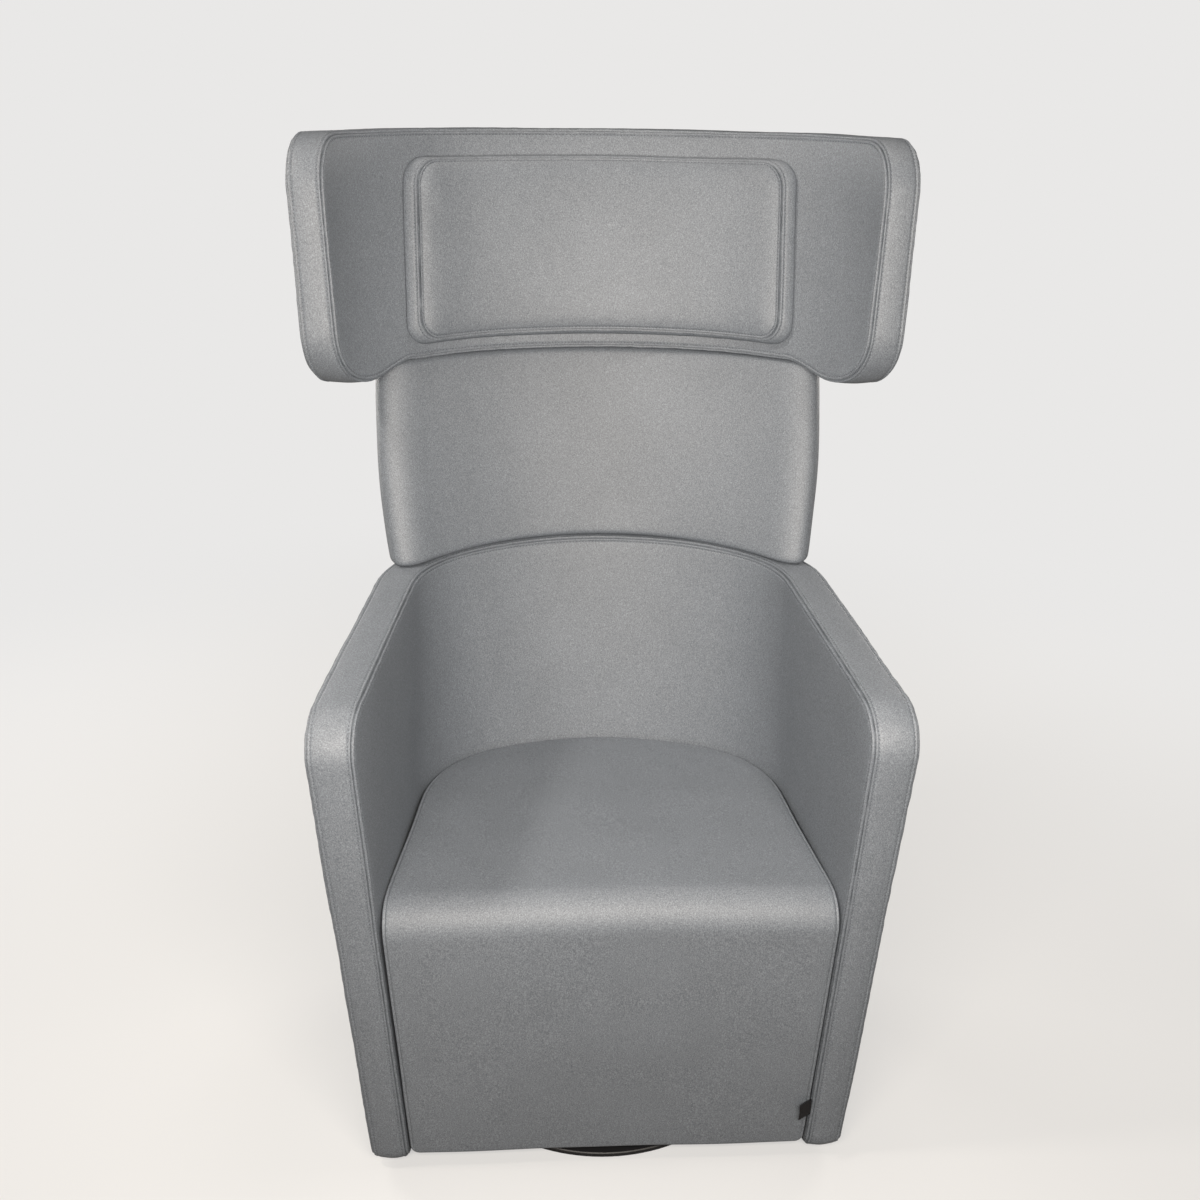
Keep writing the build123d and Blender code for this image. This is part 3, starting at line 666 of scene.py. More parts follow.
def seatProfile(x, share, stage):
    # stage 0 goes up the front panel, stage 1 round the waterfall
    radius, front = seat["waterfall"], seat["front"]
    top = seatTop(x, np.zeros_like(x))
    base = seat["bottom"] + seat["cornerRadius"]
    angle = share * np.pi / 2 * (stage == 1)
    y = front + radius * (1 - np.cos(angle))
    z = np.where(stage == 1, top - radius + radius * np.sin(angle), base + (top - radius - base) * share)
    normals = np.stack([0 * x, -np.cos(angle), np.sin(angle)], -1)
    return y, z, normals


def rimX(y, z, inset):
    # half width of the seat, less the inset
    shell = sideX(shellInner["levels"], y, z) - seat["clearance"] + frontTightness(y)
    return softMin(sideX(seatSides, y, z), shell, 1.5) - inset


def topNormals(x, y):
    dx = (seatTop(x + 1, y) - seatTop(x - 1, y)) / 2
    dy = (seatTop(x, y + 1) - seatTop(x, y - 1)) / 2
    return unit(np.stack([-dx, -dy, np.ones_like(dx)], -1))


def seatFace(loop, inset):
    # the seat's outside along its border: points and normals at an inset from the edge
    kind, side, share = loop["kind"], loop["side"], loop["share"]
    inset = np.broadcast_to(inset, kind.shape).astype(float)
    corner, bottom, front = seat["cornerRadius"], seat["bottom"], seat["front"]
    # a first guess of the height, made exact by the loop below
    y = np.full_like(share, front)
    z = np.where(kind == 1, 415.0, bottom + corner + share * 350)
    for _ in range(3):
        x = side * rimX(y, z, inset)
        y, z, normals = seatProfile(x, share, kind)
    plan, _ = rimPlan(side, loop["w"], share, inset, seat["edgeHeight"])
    onTop, under = kind == 2, kind >= 3
    x, y = np.where(onTop, plan[:, 0], x), np.where(onTop, plan[:, 1], y)
    z = np.where(onTop, seatTop(x, y), z)
    normals = np.where(onTop[:, None], topNormals(x, y), normals)
    # the lower corners and the bottom edge of the front panel
    centreX = rimX(front, np.full_like(z, bottom + corner), 0.0) - corner
    left, turn = np.maximum(corner - inset, 0), share * np.pi / 2
    x = np.where(kind == 3, side * (centreX + left * np.cos(turn)), x)
    x = np.where(kind == 4, loop["q"] * centreX, x)
    below = np.where(kind == 3, bottom + corner - left * np.sin(turn), bottom + inset)
    y, z = np.where(under, front, y), np.where(under, below, z)
    normals = np.where(under[:, None], (0.0, -1.0, 0.0), normals)
    return np.stack([x, y, z], -1), normals


def seatInside(points, kind, share):
    # the hidden side of the cushion, against the front board and the webbing
    inside = points.copy()
    under = seat["underLevel"]
    base = seat["bottom"]
    top = seatTop(points[..., 0], 0 * points[..., 0]) - seat["waterfall"]
    squeezed = base + (points[..., 2] - base) * (under - base) / (top - base)
    front, rise = seat["frontInside"], seat["topInside"] - under
    onTop, onFall = kind == 2, kind == 1
    inside[..., 1] = np.where(onTop, points[..., 1], np.where(onFall, front + 20 * share, front))
    inside[..., 2] = np.where(onTop, under + rise, np.where(onFall, under + rise * share, squeezed))
    angle = np.where(onTop, np.pi / 2, np.where(onFall, share * np.pi / 2, 0.0))
    normals = np.stack([0 * angle, np.cos(angle), -np.sin(angle)], -1)
    inside[..., 0] *= seat["hiddenWidth"]
    return inside, normals


def buildSeat(cloth):
    loop = seatLoop()
    kind, side, share = loop["kind"], loop["side"], loop["share"]
    _, flat = rimPlan(side, loop["w"], share, np.zeros(len(kind)), seat["edgeHeight"])
    taper = math.tan(math.radians(seat["sideTaper"]))
    lean = seat["sideLean"]
    sideOut = unit(np.stack([side, np.full(len(kind), taper), np.full(len(kind), lean)], -1))
    turn = (share * np.pi / 2)[:, None]
    cornerOut = np.cos(turn) * sideOut + np.sin(turn) * np.array([0.0, 0.0, -1.0])
    out = np.where((kind == 2)[:, None], flat, sideOut)
    out = np.where((kind == 3)[:, None], cornerOut, out)
    out = unit(np.where((kind == 4)[:, None], (0.0, 0.0, -1.0), out))

    def innerFace(inset):
        return seatInside(seatFace(loop, inset)[0], kind, share)

    under = kind >= 3
    seat["radiusA"] = np.where(under, seat["underRadius"], seat["seamRadius"])
    seat["radiusB"] = np.full(len(kind), seat["hiddenRadius"])
    seat["strengthA"] = np.where(under, 0.0, 1.0)
    seat["strengthB"] = np.zeros(len(kind))
    points, _ = sweepBorder(
        seat, lambda inset: seatFace(loop, inset), innerFace, out, np.zeros(len(kind)))
    grids = [(points, True)] + [(seatPanel(loop, inner), False) for inner in (False, True)]
    piece = makePiece("seatCushion", grids, cloth)
    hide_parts("seat_foam", "seat_cover")
    return piece


def seatPanel(loop, inner):
    # front panel and waterfall row by row, then the top as a patch between its four border lines
    edge, _ = seatFace(loop, seat["depth"])
    count = seat["stations"]
    across = np.linspace(-1, 1, count["across"] + 1)
    low, topRows = count["front"] + 1 + count["waterfall"], count["top"]
    rows = []
    for k in range(low):
        x, stage, share = across * -edge[k, 0], loop["kind"][k], loop["share"][k]
        y, z, normals = seatProfile(x, np.full_like(x, share), stage)
        if k == 0:
            z = np.full_like(x, edge[0, 2])
        rows.append((np.stack([x, y, z], -1), normals, stage + 0 * x, share + 0 * x))
    left = edge[low - 1:low + topRows, :2]
    rear = edge[low - 1 + topRows:low - 1 + topRows + len(across), :2]
    right = left * (-1, 1)
    front = np.stack([across * -left[0, 0], np.full_like(across, left[0, 1])], -1)
    q = ((across + 1) / 2)[:, None]
    for k in range(1, topRows + 1):
        v = k / topRows
        plan = (1 - v) * front + v * rear + (1 - q) * left[k] + q * right[k]
        plan -= (1 - v) * ((1 - q) * front[0] + q * front[-1]) + v * ((1 - q) * rear[0] + q * rear[-1])
        x, y = plan.T
        rows.append((np.stack([x, y, seatTop(x, y)], -1), topNormals(x, y), 2 + 0 * x, 0 * x))
    points, normals, kind, share = (np.stack(part) for part in zip(*rows))
    inset = np.full(kind.shape, seat["depth"])
    if inner:
        points, normals = seatInside(points, kind, share)
    else:
        # distance from each point to the border line
        gaps = [((points - station) ** 2).sum(-1) for station in edge]
        inset = inset + np.sqrt(np.minimum.reduce(gaps))
    return dressPanel(seat, points, normals, inset)


# endLine: x less y where the cushion ends, how that changes with height, and the height it is given
# for; rolls: rise and reach of the swellings inside the seam
head = dict(
    bottom=1054.0, top=1305.0, endLine=(-191.0, -0.2262, 1035.0), cornerRadius=34.0, taperEnd=15.0,
    taperSide=6.0, border=22.0, rolls=((8.0, 10.0), (6.0, 45.0)), backGap=2.6, depth=34.0, step=7.0,
    puff=0.0, slack=0.45, pucker=0.1, edgeA=seamHeight, edgeB=lambda x: 0 * x, stepsA=seam["steps"],
    stepsB=(2.0,), columns=84, rows=28, seamRadius=5.0, backRadius=3.0, crown=1.2)


def arcLengths(z):
    # arc lengths of the back arc's half and of the corner arc at a height of the wing
    def lengths(level):
        w = outlineAt(level, np.linspace(0, 2, 401))
        run = np.concatenate([[0], np.cumsum(np.linalg.norm(np.diff(w, axis=0), axis=1))])
        return run[200], run[400] - run[200]

    back = mixLevels(headWall["levels"], z, lambda level: lengths(level)[0])
    return back, mixLevels(headWall["levels"], z, lambda level: lengths(level)[1])


def headEnd(z):
    # arc length at which the cushion ends
    def ends(level):
        w = np.linspace(0.2, 1.95, 4001)
        x, y = outlineAt(level, w).T
        base, lean, height = head["endLine"]
        gap = x - y - base - lean * (level[0] - height)
        at = w[np.argmin(np.abs(gap))]
        back, corner = arcLengths(np.array(float(level[0])))
        return at * back if at < 1 else back + (at - 1) * corner

    return mixLevels(headWall["levels"], z, ends)


def wingSurface(run, z):
    back, corner = arcLengths(z)
    length = np.abs(run)
    w = np.where(length < back, length / back, 1 + (length - back) / corner)
    side = np.where(run < 0, -1.0, 1.0)
    return wallFace(headWall, side, w, z, z, -1)


def headThickness(inset):
    # a tight roll just inside the seam, then a slow crown
    thick, tilt = head["border"], 0.0
    for rise, reach in head["rolls"]:
        fall = rise * np.exp(-inset / reach)
        thick, tilt = thick + rise - fall, tilt + fall / reach
    return thick, tilt


def headLoop():
    # (across, up) of each station and the direction it faces: left side, top, then the same turned
    arc = round(head["cornerRadius"] * np.pi / 2 / head["step"])
    arc = np.linspace(0, np.pi / 2, arc + 1)[1:-1]
    half = [(-1, q, -1, 0) for q in np.linspace(-1, 1, head["rows"] + 1)]
    half += [(-1, 1, -math.cos(a), math.sin(a)) for a in arc]
    half += [(q, 1, 0, 1) for q in np.linspace(-1, 1, head["columns"] + 1)]
    half += [(1, 1, math.sin(a), math.cos(a)) for a in arc]
    return np.vstack([half, -np.array(half)])


def headPlace(loop, inset, taper=0):
    # (run along the wing, height) of each station at an inset from the cushion's edge; taper 1 is
    # the front's smaller outline
    across, up, outRun, outUp = loop.T
    radius = head["cornerRadius"]
    left = np.maximum(radius - inset, 0)
    past = np.maximum(inset - radius, 0)
    middle = (head["bottom"] + head["top"]) / 2
    half = (head["top"] - head["bottom"]) / 2 - taper * head["taperSide"]
    z = middle + up * (half - radius - past) + left * outUp
    end = headEnd(middle + up * (half - radius)) - taper * head["taperEnd"]
    run = across * (end - radius - past) + left * outRun
    return run, z


def buildHeadCushion(cloth, threadMaterial):
    loop = headLoop()
    run, z = headPlace(loop, np.zeros(len(loop)))
    points, normals = wingSurface(run, z)
    sideways = unit(wingSurface(run + 1, z)[0] - wingSurface(run - 1, z)[0])
    upward = unit(np.cross(normals, sideways))
    upward = upward * np.sign(upward[:, 2:])
    out = unit(loop[:, 2:3] * sideways + loop[:, 3:4] * upward)
    slant = head["taperEnd"] * loop[:, 2] ** 2 + head["taperSide"] * loop[:, 3] ** 2
    out = unit(out + normals * (slant / head["border"])[:, None])

    def frontFace(inset):
        inset = np.broadcast_to(inset, len(loop)).astype(float)
        base, inward = wingSurface(*headPlace(loop, inset, 1))
        thick, tilt = headThickness(inset)
        return base + inward * thick[:, None], unit(inward + out * tilt[:, None])

    def backFace(inset):
        inset = np.broadcast_to(inset, len(loop)).astype(float)
        base, inward = wingSurface(*headPlace(loop, inset))
        return base + inward * head["backGap"], -inward

    count = len(loop)
    head["radiusA"] = np.full(count, head["seamRadius"])
    head["radiusB"] = np.full(count, head["backRadius"])
    head["strengthA"] = 1 + 0.2 * puckerWaves(points)
    head["strengthB"] = np.zeros(count)
    crown = np.full(count, head["crown"])
    border, rows = sweepBorder(head, frontFace, backFace, out, crown)
    across = np.linspace(-1, 1, head["columns"] + 1)[None, :]
    up = np.linspace(-1, 1, head["rows"] + 1)[:, None]
    depth = head["depth"]
    middle = (head["bottom"] + head["top"]) / 2

    def facePanel(taper):
        half = (head["top"] - head["bottom"]) / 2 - depth - taper * head["taperSide"]
        z = middle + up * half + 0 * across
        end = headEnd(z) - taper * head["taperEnd"]
        run = across * (end - depth)
        toEnd, toTop = end - np.abs(run), half + depth - np.abs(z - middle)
        ease = 1.2 * np.maximum(np.minimum(toEnd, toTop) - depth, 0)
        return (*wingSurface(run, z), headThickness(softMin(toEnd, toTop, ease))[0])

    front, inward, thick = facePanel(1)
    front = front + inward * thick[..., None]
    front = front + inward * slackAt(head, front)[..., None]
    back, inward, _ = facePanel(0)
    back = back + inward * head["backGap"]
    back = back - inward * slackAt(head, back)[..., None]
    grids = [(border, True), (front, False), (back, False)]
    piece = makePiece("headCushion", grids, cloth, weld=0.25)
    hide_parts("head_cushion_foam", "head_cushion_cover")
    makeStitches("headCushionStitching", [(*row, True) for row in rows], threadMaterial)
    return piece


# low and high: height, radius of the curve, depth of its centre, and half its angle in degrees
panel = dict(
    low=(750.3, 356.5, 188.0, 52.0), high=(1034.7, 476.5, 135.0, 38.6), bottom=752.2, top=1032.8,
    thickness=53.0, rollBottom=10.0, rollTop=8.0, sideRoll=46.0, across=110, cap=22, rows=44, puff=1.2,
    slack=0.7)


def buildMiddlePanel(cloth):
    low, high = np.array(panel["low"]), np.array(panel["high"])
    bottom, top, thickness = (panel[key] for key in ("bottom", "top", "thickness"))
    rollLow, rollHigh = panel["rollBottom"], panel["rollTop"]
    quarter = np.linspace(0, np.pi / 2, 7)
    body = np.linspace(bottom + rollLow, top - rollHigh, panel["rows"] + 1)
    # the height of each section and how far its faces are drawn in by the rolled edges
    heights = [(bottom + rollLow * (1 - math.cos(a)), rollLow * (1 - math.sin(a))) for a in quarter]
    heights += [(z, 0.0) for z in body[1:-1]]
    heights += [(top - rollHigh * (1 - math.cos(a)), rollHigh * (1 - math.sin(a))) for a in quarter[::-1]]
    cap = np.linspace(0, np.pi, panel["cap"] + 1)[1:-1]
    long = panel["sideRoll"] - thickness / 2
    rows = []
    for z, pull in heights:
        _, radius, centre, halfAngle = low + (high - low) * (z - low[0]) / (high[0] - low[0])
        halfAngle, half = math.radians(halfAngle), thickness / 2 - pull
        turn = np.linspace(-halfAngle, halfAngle, panel["across"] + 1)
        reach = half * np.sin(cap) - long * (1 - np.sin(cap)) * (cap < np.pi / 2)
        section = [(radius - half, a, 0.0) for a in turn * (1 - long / (radius - half) / halfAngle)]
        section += [(radius - math.cos(c) * half, halfAngle, r) for r, c in zip(reach, cap)]
        section += [(radius + half, a, 0.0) for a in turn[::-1]]
        section += [(radius - math.cos(c) * half, -halfAngle, -r) for r, c in zip(reach[::-1], cap[::-1])]
        r, a, ahead = np.array(section).T
        x, y = r * np.sin(a) + ahead * np.cos(a), centre + r * np.cos(a) - ahead * np.sin(a)
        rows.append(np.stack([x, y, np.full_like(x, z)], -1))
    points = np.stack(rows, 1)
    around = np.roll(points, -1, 0) - np.roll(points, 1, 0)
    normals = unit(np.cross(around, np.gradient(points, axis=1)) + 1e-9)
    middle = (bottom + top) / 2
    share = np.clip(1 - ((points[..., 2] - middle) / (middle - bottom)) ** 6, 0, 1)
    height = share * (panel["puff"] + panel["slack"] * slackWaves(points))
    points = points + normals * height[..., None]
    half, grids = len(points) // 2 + 1, [(points, True)]
    for row in (0, -1):
        order = np.roll(points[:, row], panel["cap"] // 2, 0)
        grids.append((np.stack([order[:half], order[::-1][:half]], 1), False))
    piece = makePiece("middlePanel", grids, cloth)
    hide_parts("middle_panel_foam", "middle_panel_cover")
    return piece


# seamX, front and bottom: where the ribbon leaves the seam; turn: degrees it turns to the front
tag = dict(
    seamX=281.0, front=-0.4, bottom=80.0, height=26.0, length=20.0, thickness=0.45, turn=28.0, sag=2.6,
    curl=0.8)


def buildTag(material):
    # a ribbon folded back on itself: out along one layer, round the fold and back
    reach, gap = tag["length"], tag["thickness"]
    turn = math.radians(180 + tag["turn"])
    along = np.array([math.cos(turn), math.sin(turn), 0.0])
    across = np.array([-math.sin(turn), math.cos(turn), 0.0])
    out, layer = np.linspace(0, reach - 1, 12), gap * 1.2
    fold = np.linspace(-np.pi / 2, np.pi / 2, 7)[1:-1]
    line = [(s, -layer) for s in out]
    line += [(reach - 1 + math.cos(a), layer * math.sin(a)) for a in fold]
    line = np.array(line + [(s, layer) for s in out[::-1]])
    slope = unit(np.gradient(line, axis=0))
    normal = np.stack([-slope[:, 1], slope[:, 0]], -1)
    up = np.linspace(0, 1, 10)[None, :, None]
    foot = np.array([tag["seamX"], tag["front"], tag["bottom"]])
    shells = []
    for offset in (-gap / 2, gap / 2):
        run, aside = (line + normal * offset).T[:, :, None, None]
        sag, curl = tag["sag"] * (run / reach) ** 1.6, tag["curl"] * (run / reach) ** 2
        rise = (up * tag["height"] - sag) * np.array([0.0, 0.0, 1.0])
        shells.append(foot + run * along + (aside + curl * np.sin(up * np.pi)) * across + rise)
    ring = np.concatenate([shells[0], shells[1][:, ::-1], shells[0][:, :1]], 1)
    grids = [(ring, False)] + [(np.stack([shells[0][k], shells[1][k]], 0), False) for k in (0, -1)]
    piece = makePiece("seamTag", grids, material, 0.02)
    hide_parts("seam_tag")
    return piece


def srgb(text):
    values = [int(text[k:k + 2], 16) / 255 for k in (1, 3, 5)]
    linear = [v / 12.92 if v <= 0.04045 else ((v + 0.055) / 1.055) ** 2.4 for v in values]
    return (*linear, 1.0)


def addNode(tree, kind, settings=None, links=None):
    # settings: attributes, sockets or a ramp's stops; links: input socket to (node, output)
    node = tree.nodes.new("ShaderNode" + kind)
    for key, value in (settings or {}).items():
        if key == "stops":
            elements = node.color_ramp.elements
            while len(elements) < len(value):
                elements.new(0.5)
            for element, (position, colour) in zip(elements, value.items()):
                element.position, element.color = position, srgb(colour)
        elif isinstance(key, str) and hasattr(node, key):
            setattr(node, key, value)
        else:
            node.inputs[key].default_value = value
    for key, (source, output) in (links or {}).items():
        tree.links.new(source.outputs[output], node.inputs[key])
    return node


def newMaterial(name):
    material = bpy.data.materials.new(name)
    material.use_nodes = True
    tree = material.node_tree
    tree.nodes.clear()
    return material, tree, addNode(tree, "TexCoord")


def finishMaterial(tree, settings, links):
    shader = addNode(tree, "BsdfPrincipled", settings, links)
    addNode(tree, "OutputMaterial", links={"Surface": (shader, "BSDF")})


# Wool felt, woven then milled: no visible threads, a speckle of lighter and darker fibres and a
# pressed nap with a broad, dull shine on the rolls. Real fibres are 0.03 mm thick, too fine to show,
# so the speckle is drawn at about 1.5 mm.
wool = dict(
    dark="#494e55", middle="#656b72", light="#83898f", speckle=1.5, fibre=0.9, mottle=70.0,
    mottleSpan=(0.97, 1.03), nap=0.9)


def woolFelt():
    material, tree, place = newMaterial("woolFelt")
    at = {"Vector": (place, "Object")}
    speckle = addNode(
        tree, "TexNoise", {"Scale": 1000 / wool["speckle"], "Detail": 3.0, "Roughness": 0.65}, at)
    stretch = addNode(tree, "Mapping", {"Scale": (1.0, 1.0, 0.3)}, at)
    fibres = addNode(
        tree, "TexNoise", {"Scale": 1000 / wool["fibre"], "Detail": 2.0, "Distortion": 0.8},
        {"Vector": (stretch, "Vector")})
    both = addNode(
        tree, "Mix", {"data_type": "FLOAT", "Factor": 0.35},
        {"A": (speckle, "Fac"), "B": (fibres, "Fac")})
    stops = {0.34: wool["dark"], 0.5: wool["middle"], 0.66: wool["light"]}
    ramp = addNode(tree, "ValToRGB", {"stops": stops}, {"Fac": (both, "Result")})
    mottle = addNode(tree, "TexNoise", {"Scale": 1000 / wool["mottle"], "Detail": 2.0}, at)
    low, high = wool["mottleSpan"]
    shade = addNode(
        tree, "MapRange", {"From Min": 0.3, "From Max": 0.7, "To Min": low, "To Max": high},
        {"Value": (mottle, "Fac")})
    # inputs 0, 6 and 7 of the mix are its factor and its two colours
    tone = addNode(
        tree, "Mix", {"data_type": "RGBA", "blend_type": "MULTIPLY", 0: 1.0},
        {6: (ramp, "Color"), 7: (shade, "Result")})
    nap = addNode(tree, "TexNoise", {"Scale": 1000 / wool["nap"], "Detail": 3.0, "Roughness": 0.6}, at)
    soft = addNode(tree, "Bump", {"Strength": 0.25, "Distance": 0.0004}, {"Height": (speckle, "Fac")})
    bump = addNode(
        tree, "Bump", {"Strength": 0.4, "Distance": 0.0003},
        {"Height": (nap, "Fac"), "Normal": (soft, "Normal")})
    finishMaterial(
        tree,
        {
            "Roughness": 0.62, "IOR": 1.45, "Specular IOR Level": 1.0, "Sheen Weight": 0.02,
            "Sheen Roughness": 0.6, "Sheen Tint": srgb("#c9ced6")},
        {"Base Color": (tone, 2), "Normal": (bump, "Normal")})
    return material


# Spun polyester sewing thread, a few shades darker than the wool, with the slight shine of its twist
def sewingThread():
    material, tree, place = newMaterial("sewingThread")
    twist = addNode(tree, "TexNoise", {"Scale": 1400.0, "Detail": 2.0}, {"Vector": (place, "Object")})
    ramp = addNode(
        tree, "ValToRGB", {"stops": {0.35: "#3f444a", 0.65: "#5a5f66"}}, {"Fac": (twist, "Fac")})
    bump = addNode(tree, "Bump", {"Strength": 0.4, "Distance": 0.0002}, {"Height": (twist, "Fac")})
    finishMaterial(
        tree, {"Roughness": 0.6, "IOR": 1.5, "Specular IOR Level": 0.4},
        {"Base Color": (ramp, "Color"), "Normal": (bump, "Normal")})
    return material


# slot: name, shader settings, colours, grain in mm, bump strength, bump depth in metres, roughness,
# and how the grain is stretched
noisyLooks = dict(
    # Powder-coated steel: matt black with the fine orange peel of the coat
    black_disc=("powderCoatedDisc", {"IOR": 1.5}, {0.3: "#121213", 0.7: "#1c1c1e"},
                0.9, 0.35, 0.0003, (0.42, 0.6)),
    upright_steel=("powderCoatedUpright", {"IOR": 1.5}, {0.3: "#161617", 0.7: "#232325"},
                   1.1, 0.3, 0.0003, (0.4, 0.55)),
    # Birch plywood, sanded: pale, with long grain and darker pores
    plywood=("birchPlywood", {"IOR": 1.5, "Specular IOR Level": 0.35},
             {0.25: "#b18a5c", 0.5: "#cba878", 0.75: "#dcc094"},
             6.0, 0.25, 0.0004, (0.5, 0.7), (0.12, 1, 1)),
    # Spun-bonded dust cover and hook tape: dull black fibres
    black_cloth=("blackNonwoven", {"IOR": 1.45, "Specular IOR Level": 0.2},
                 {0.3: "#0f0f10", 0.7: "#202022"}, 1.4, 0.6, 0.0004, (0.8, 0.95)),
    # Zinc-plated pressed steel: dull silver with a faint crystal mottle
    bearing_steel=("zincPlatedSteel", {"Metallic": 1.0}, {0.3: "#a3a7aa", 0.7: "#bcbfc1"},
                   7.0, 0.1, 0.0002, (0.28, 0.45)),
    zinc_fasteners=("brightZinc", {"Metallic": 1.0}, {0.3: "#b0b2b1", 0.7: "#cccdca"},
                    2.0, 0.08, 0.0001, (0.2, 0.34)),
    # Ground and lapped bearing balls: near mirror with faint haze
    ball_steel=("lappedBallSteel", {"Metallic": 1.0}, {0.3: "#c3c4c6", 0.7: "#d2d3d4"},
                3.0, 0.02, 0.0001, (0.05, 0.12)),
    # Moulded natural nylon: milky, slightly soft to the light
    cage_plastic=("mouldedNylon",
                  {"IOR": 1.53, "Subsurface Weight": 0.15, "Subsurface Radius": (0.002, 0.002, 0.0015)},
                  {0.3: "#d2cfc2", 0.7: "#dedbd0"}, 5.0, 0.1, 0.0002, (0.38, 0.5)),
    # Calendered rubber sheet: dead matt black with a light bloom
    rubber_pad=("calenderedRubber", {"IOR": 1.5, "Specular IOR Level": 0.3},
                {0.3: "#131313", 0.7: "#232322"}, 1.6, 0.5, 0.0004, (0.75, 0.9)),
)
# slot: name, dark and light thread, rib spacing in mm, roughness
ribbedLooks = dict(
    # Elastic upholstery webbing: black ribs across its width
    webbing=("elasticWebbing", "#17171a", "#2c2c30", 2.4, 0.85),
    # Woven ribbon with a slight shine
    tag_ribbon=("blackWovenRibbon", "#08080a", "#1a1a1e", 0.8, 0.5),
)


def noisyMaterial(name, settings, stops, grain, bump, depth, roughSpan, stretch=(1, 1, 1)):
    # colour, bump and roughness from one noise
    material, tree, place = newMaterial(name)
    scale = addNode(tree, "Mapping", {"Scale": stretch}, {"Vector": (place, "Object")})
    noise = addNode(
        tree, "TexNoise", {"Scale": 1000 / grain, "Detail": 4.0, "Roughness": 0.6},
        {"Vector": (scale, "Vector")})
    at = {"Fac": (noise, "Fac")}
    ramp = addNode(tree, "ValToRGB", {"stops": stops}, at)
    rough = addNode(
        tree, "MapRange", {"To Min": roughSpan[0], "To Max": roughSpan[1]}, {"Value": at["Fac"]})
    relief = addNode(tree, "Bump", {"Strength": bump, "Distance": depth}, {"Height": at["Fac"]})
    finishMaterial(
        tree, settings,
        {"Base Color": (ramp, "Color"), "Roughness": (rough, "Result"), "Normal": (relief, "Normal")})
    return material


def ribbedCloth(name, dark, light, rib, roughness):
    # woven ribs a few threads wide, drawn at their real spacing
    material, tree, place = newMaterial(name)
    at = {"Vector": (place, "Object")}
    ribs = addNode(tree, "TexWave",
                   {"wave_type": "BANDS", "bands_direction": "DIAGONAL",
                    "Scale": 1000 / rib / math.sqrt(3) * 0.318, "Distortion": 0.6, "Detail": 1.0}, at)
    fuzz = addNode(tree, "TexNoise", {"Scale": 1600.0, "Detail": 2.0}, at)
    both = addNode(
        tree, "Mix", {"data_type": "FLOAT", "Factor": 0.35}, {"A": (ribs, "Fac"), "B": (fuzz, "Fac")})
    ramp = addNode(tree, "ValToRGB", {"stops": {0.25: dark, 0.75: light}}, {"Fac": (both, "Result")})
    bump = addNode(tree, "Bump", {"Strength": 0.5, "Distance": 0.0004}, {"Height": (both, "Result")})
    finishMaterial(
        tree, {"Roughness": roughness, "IOR": 1.5, "Specular IOR Level": 0.4},
        {"Base Color": (ramp, "Color"), "Normal": (bump, "Normal")})
    return material


# lamp powers in watts, places and sizes in metres
studio = dict(
    floorColour="#d2d1ce", floorBounce="#787572", farColour="#e9e8e7", floorRadius=30.0, glowNear=0.6,
    fadeFrom=0.55, fadeTo=2.6, worldLight="#dfe6ef", worldStrength=0.03)
lamps = dict(
    front=dict(
        place=(-0.05, -1.35, 1.3), aim=(0.0, 0.1, 0.9), size=(1.4, 0.45), power=46, colour="#fff6ec"),
    top=dict(place=(0.3, 0.1, 3.0), aim=(0.0, 0.05, 0.5), size=(0.9, 0.6), power=16, colour="#fff6ec"),
    rearLeft=dict(
        place=(-2.0, 1.7, 1.3), aim=(0.0, 0.1, 0.65), size=(1, 1), power=46, colour="#fffaf4"),
    rearRight=dict(
        place=(2.0, 1.7, 1.3), aim=(0.0, 0.1, 0.65), size=(1, 1), power=34, colour="#fffaf4"),
    left=dict(
        place=(-1.5, -0.3, 2.4), aim=(0.0, 0.0, 0.5), size=(0.25, 0.25), power=22, colour="#fff6ec"))


def makeFloor():
    mesh = bpy.data.meshes.new("studioFloor")
    work = bmesh.new()
    bmesh.ops.create_circle(work, cap_ends=True, segments=96, radius=studio["floorRadius"])
    work.to_mesh(mesh)
    work.free()
    floor = bpy.data.objects.new("studioFloor", mesh)
    bpy.context.scene.collection.objects.link(floor)
    # Painted studio floor: plain, pale and matt; far out it meets the background without a line
    material, tree, place = newMaterial("paintedFloor")
    distance = addNode(tree, "VectorMath", {"operation": "LENGTH"}, {"Vector": (place, "Object")})
    fade = addNode(
        tree, "MapRange",
        {
            "interpolation_type": "SMOOTHSTEP", "From Min": studio["fadeFrom"],
            "From Max": studio["fadeTo"], "To Min": studio["glowNear"]},
        {"Value": (distance, "Value")})
    rays = addNode(tree, "LightPath")
    factor = addNode(
        tree, "Math", {"operation": "MULTIPLY"}, {0: (fade, "Result"), 1: (rays, "Is Camera Ray")})
    tone = addNode(
        tree, "Mix",
        {"data_type": "RGBA", 6: srgb(studio["floorBounce"]), 7: srgb(studio["floorColour"])},
        {0: (rays, "Is Camera Ray")})
    paint = addNode(
        tree, "BsdfPrincipled", {"Roughness": 0.8, "Specular IOR Level": 0.2},
        {"Base Color": (tone, 2)})
    glow = addNode(tree, "Emission", {"Color": srgb(studio["farColour"]), "Strength": 1.0})
    mix = addNode(
        tree, "MixShader", links={"Fac": (factor, "Value"), 1: (paint, "BSDF"), 2: (glow, "Emission")})
    addNode(tree, "OutputMaterial", links={"Surface": (mix, "Shader")})
    mesh.materials.append(material)


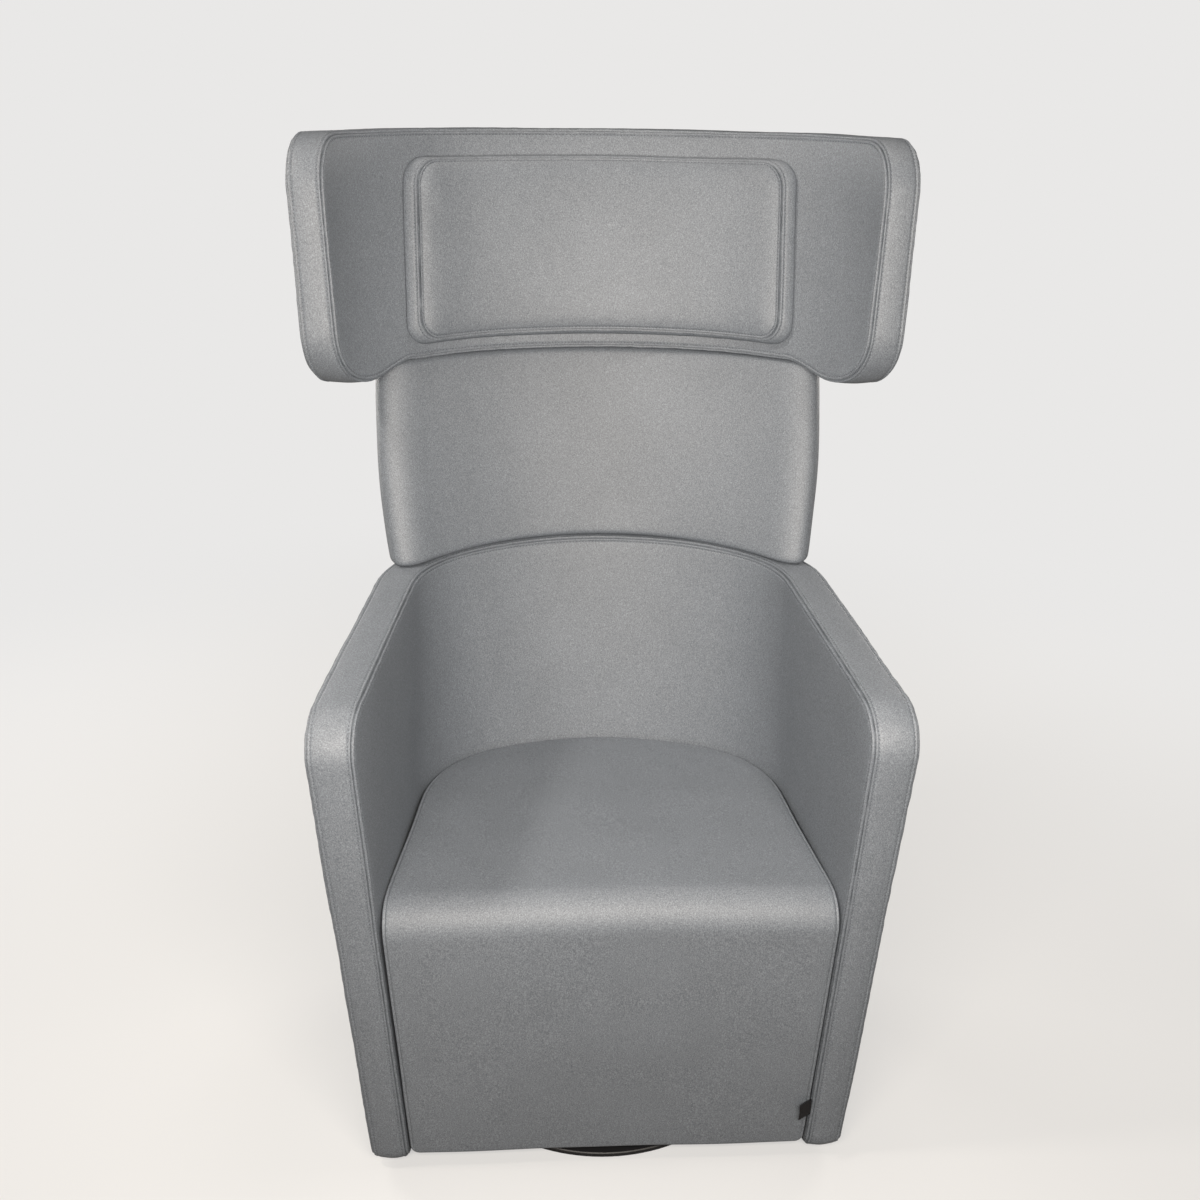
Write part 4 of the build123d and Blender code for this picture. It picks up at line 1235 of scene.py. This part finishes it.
def makeWorld():
    world = bpy.data.worlds.new("studioWorld")
    bpy.context.scene.world = world
    world.use_nodes = True
    tree = world.node_tree
    tree.nodes.clear()
    light = addNode(
        tree, "Background", {"Color": srgb(studio["worldLight"]), "Strength": studio["worldStrength"]})
    seen = addNode(tree, "Background", {"Color": srgb(studio["farColour"]), "Strength": 1.0})
    rays = addNode(tree, "LightPath")
    mix = addNode(
        tree, "MixShader",
        links={"Fac": (rays, "Is Camera Ray"), 1: (light, "Background"), 2: (seen, "Background")})
    addNode(tree, "OutputWorld", links={"Surface": (mix, "Shader")})


def makeLamps():
    for name, lamp in lamps.items():
        data = bpy.data.lights.new(name + "Lamp", "AREA")
        data.shape = "RECTANGLE"
        data.size, data.size_y = lamp["size"]
        data.energy, data.color = lamp["power"], srgb(lamp["colour"])[:3]
        piece = bpy.data.objects.new(name + "Lamp", data)
        piece.location = lamp["place"]
        piece.rotation_euler = (Vector(lamp["aim"]) - piece.location).to_track_quat("-Z", "Y").to_euler()
        bpy.context.scene.collection.objects.link(piece)


# lens and sensor in millimetres, place in metres, angles in degrees
view = dict(
    lens=36.06, sensor=36.0, place=(-0.0885, -1.5069, 1.3943), pitch=22.99, yaw=3.04, roll=-0.73)


def makeCamera():
    data = bpy.data.cameras.new("photoCamera")
    data.lens, data.sensor_width = view["lens"], view["sensor"]
    camera = bpy.data.objects.new("photoCamera", data)
    pitch, yaw, roll = (math.radians(view[key]) for key in ("pitch", "yaw", "roll"))
    right = Vector((math.cos(yaw), -math.sin(yaw), 0))
    level = Vector((math.sin(yaw), math.cos(yaw), 0))
    forward = level * math.cos(pitch) - Vector((0, 0, math.sin(pitch)))
    up = level * math.sin(pitch) + Vector((0, 0, math.cos(pitch)))
    turnedRight = right * math.cos(roll) - up * math.sin(roll)
    turnedUp = right * math.sin(roll) + up * math.cos(roll)
    matrix = Matrix((turnedRight, turnedUp, -forward)).transposed().to_4x4()
    matrix.translation = Vector(view["place"])
    camera.matrix_world = matrix
    bpy.context.scene.collection.objects.link(camera)
    bpy.context.scene.camera = camera


def finishNodes(materials):
    slots = {part["node"]: part["material_slot"] for part in frame["record"]["subparts"]}
    for node, nodeObject in frame["nodes"].items():
        material = materials.get(slots[node])
        if material:
            for materialSlot in nodeObject.material_slots:
                materialSlot.material = material


def main():
    bpy.context.scene.view_settings.view_transform = "Standard"
    makeCamera()
    makeFloor()
    makeWorld()
    makeLamps()
    print("studio ready")
    felt, threads = woolFelt(), sewingThread()
    materials = {slot: noisyMaterial(*look) for slot, look in noisyLooks.items()}
    materials.update({slot: ribbedCloth(*look) for slot, look in ribbedLooks.items()})
    finishNodes(materials)
    print("materials ready")
    shellNodes = ["lower_shell_" + part for part in ("foam", "inner_cover", "outer_cover", "edge_strip")]
    wingNodes = ["wing_" + part for part in ("foam", "inner_cover", "outer_cover", "edge_strip")]
    buildWall(lowerShell, "lowerShell", shellNodes, felt, threads)
    buildWall(wing, "wing", wingNodes, felt, threads)
    buildSeat(felt)
    buildHeadCushion(felt, threads)
    buildMiddlePanel(felt)
    buildTag(materials["tag_ribbon"])
    print("cushions ready")


main()
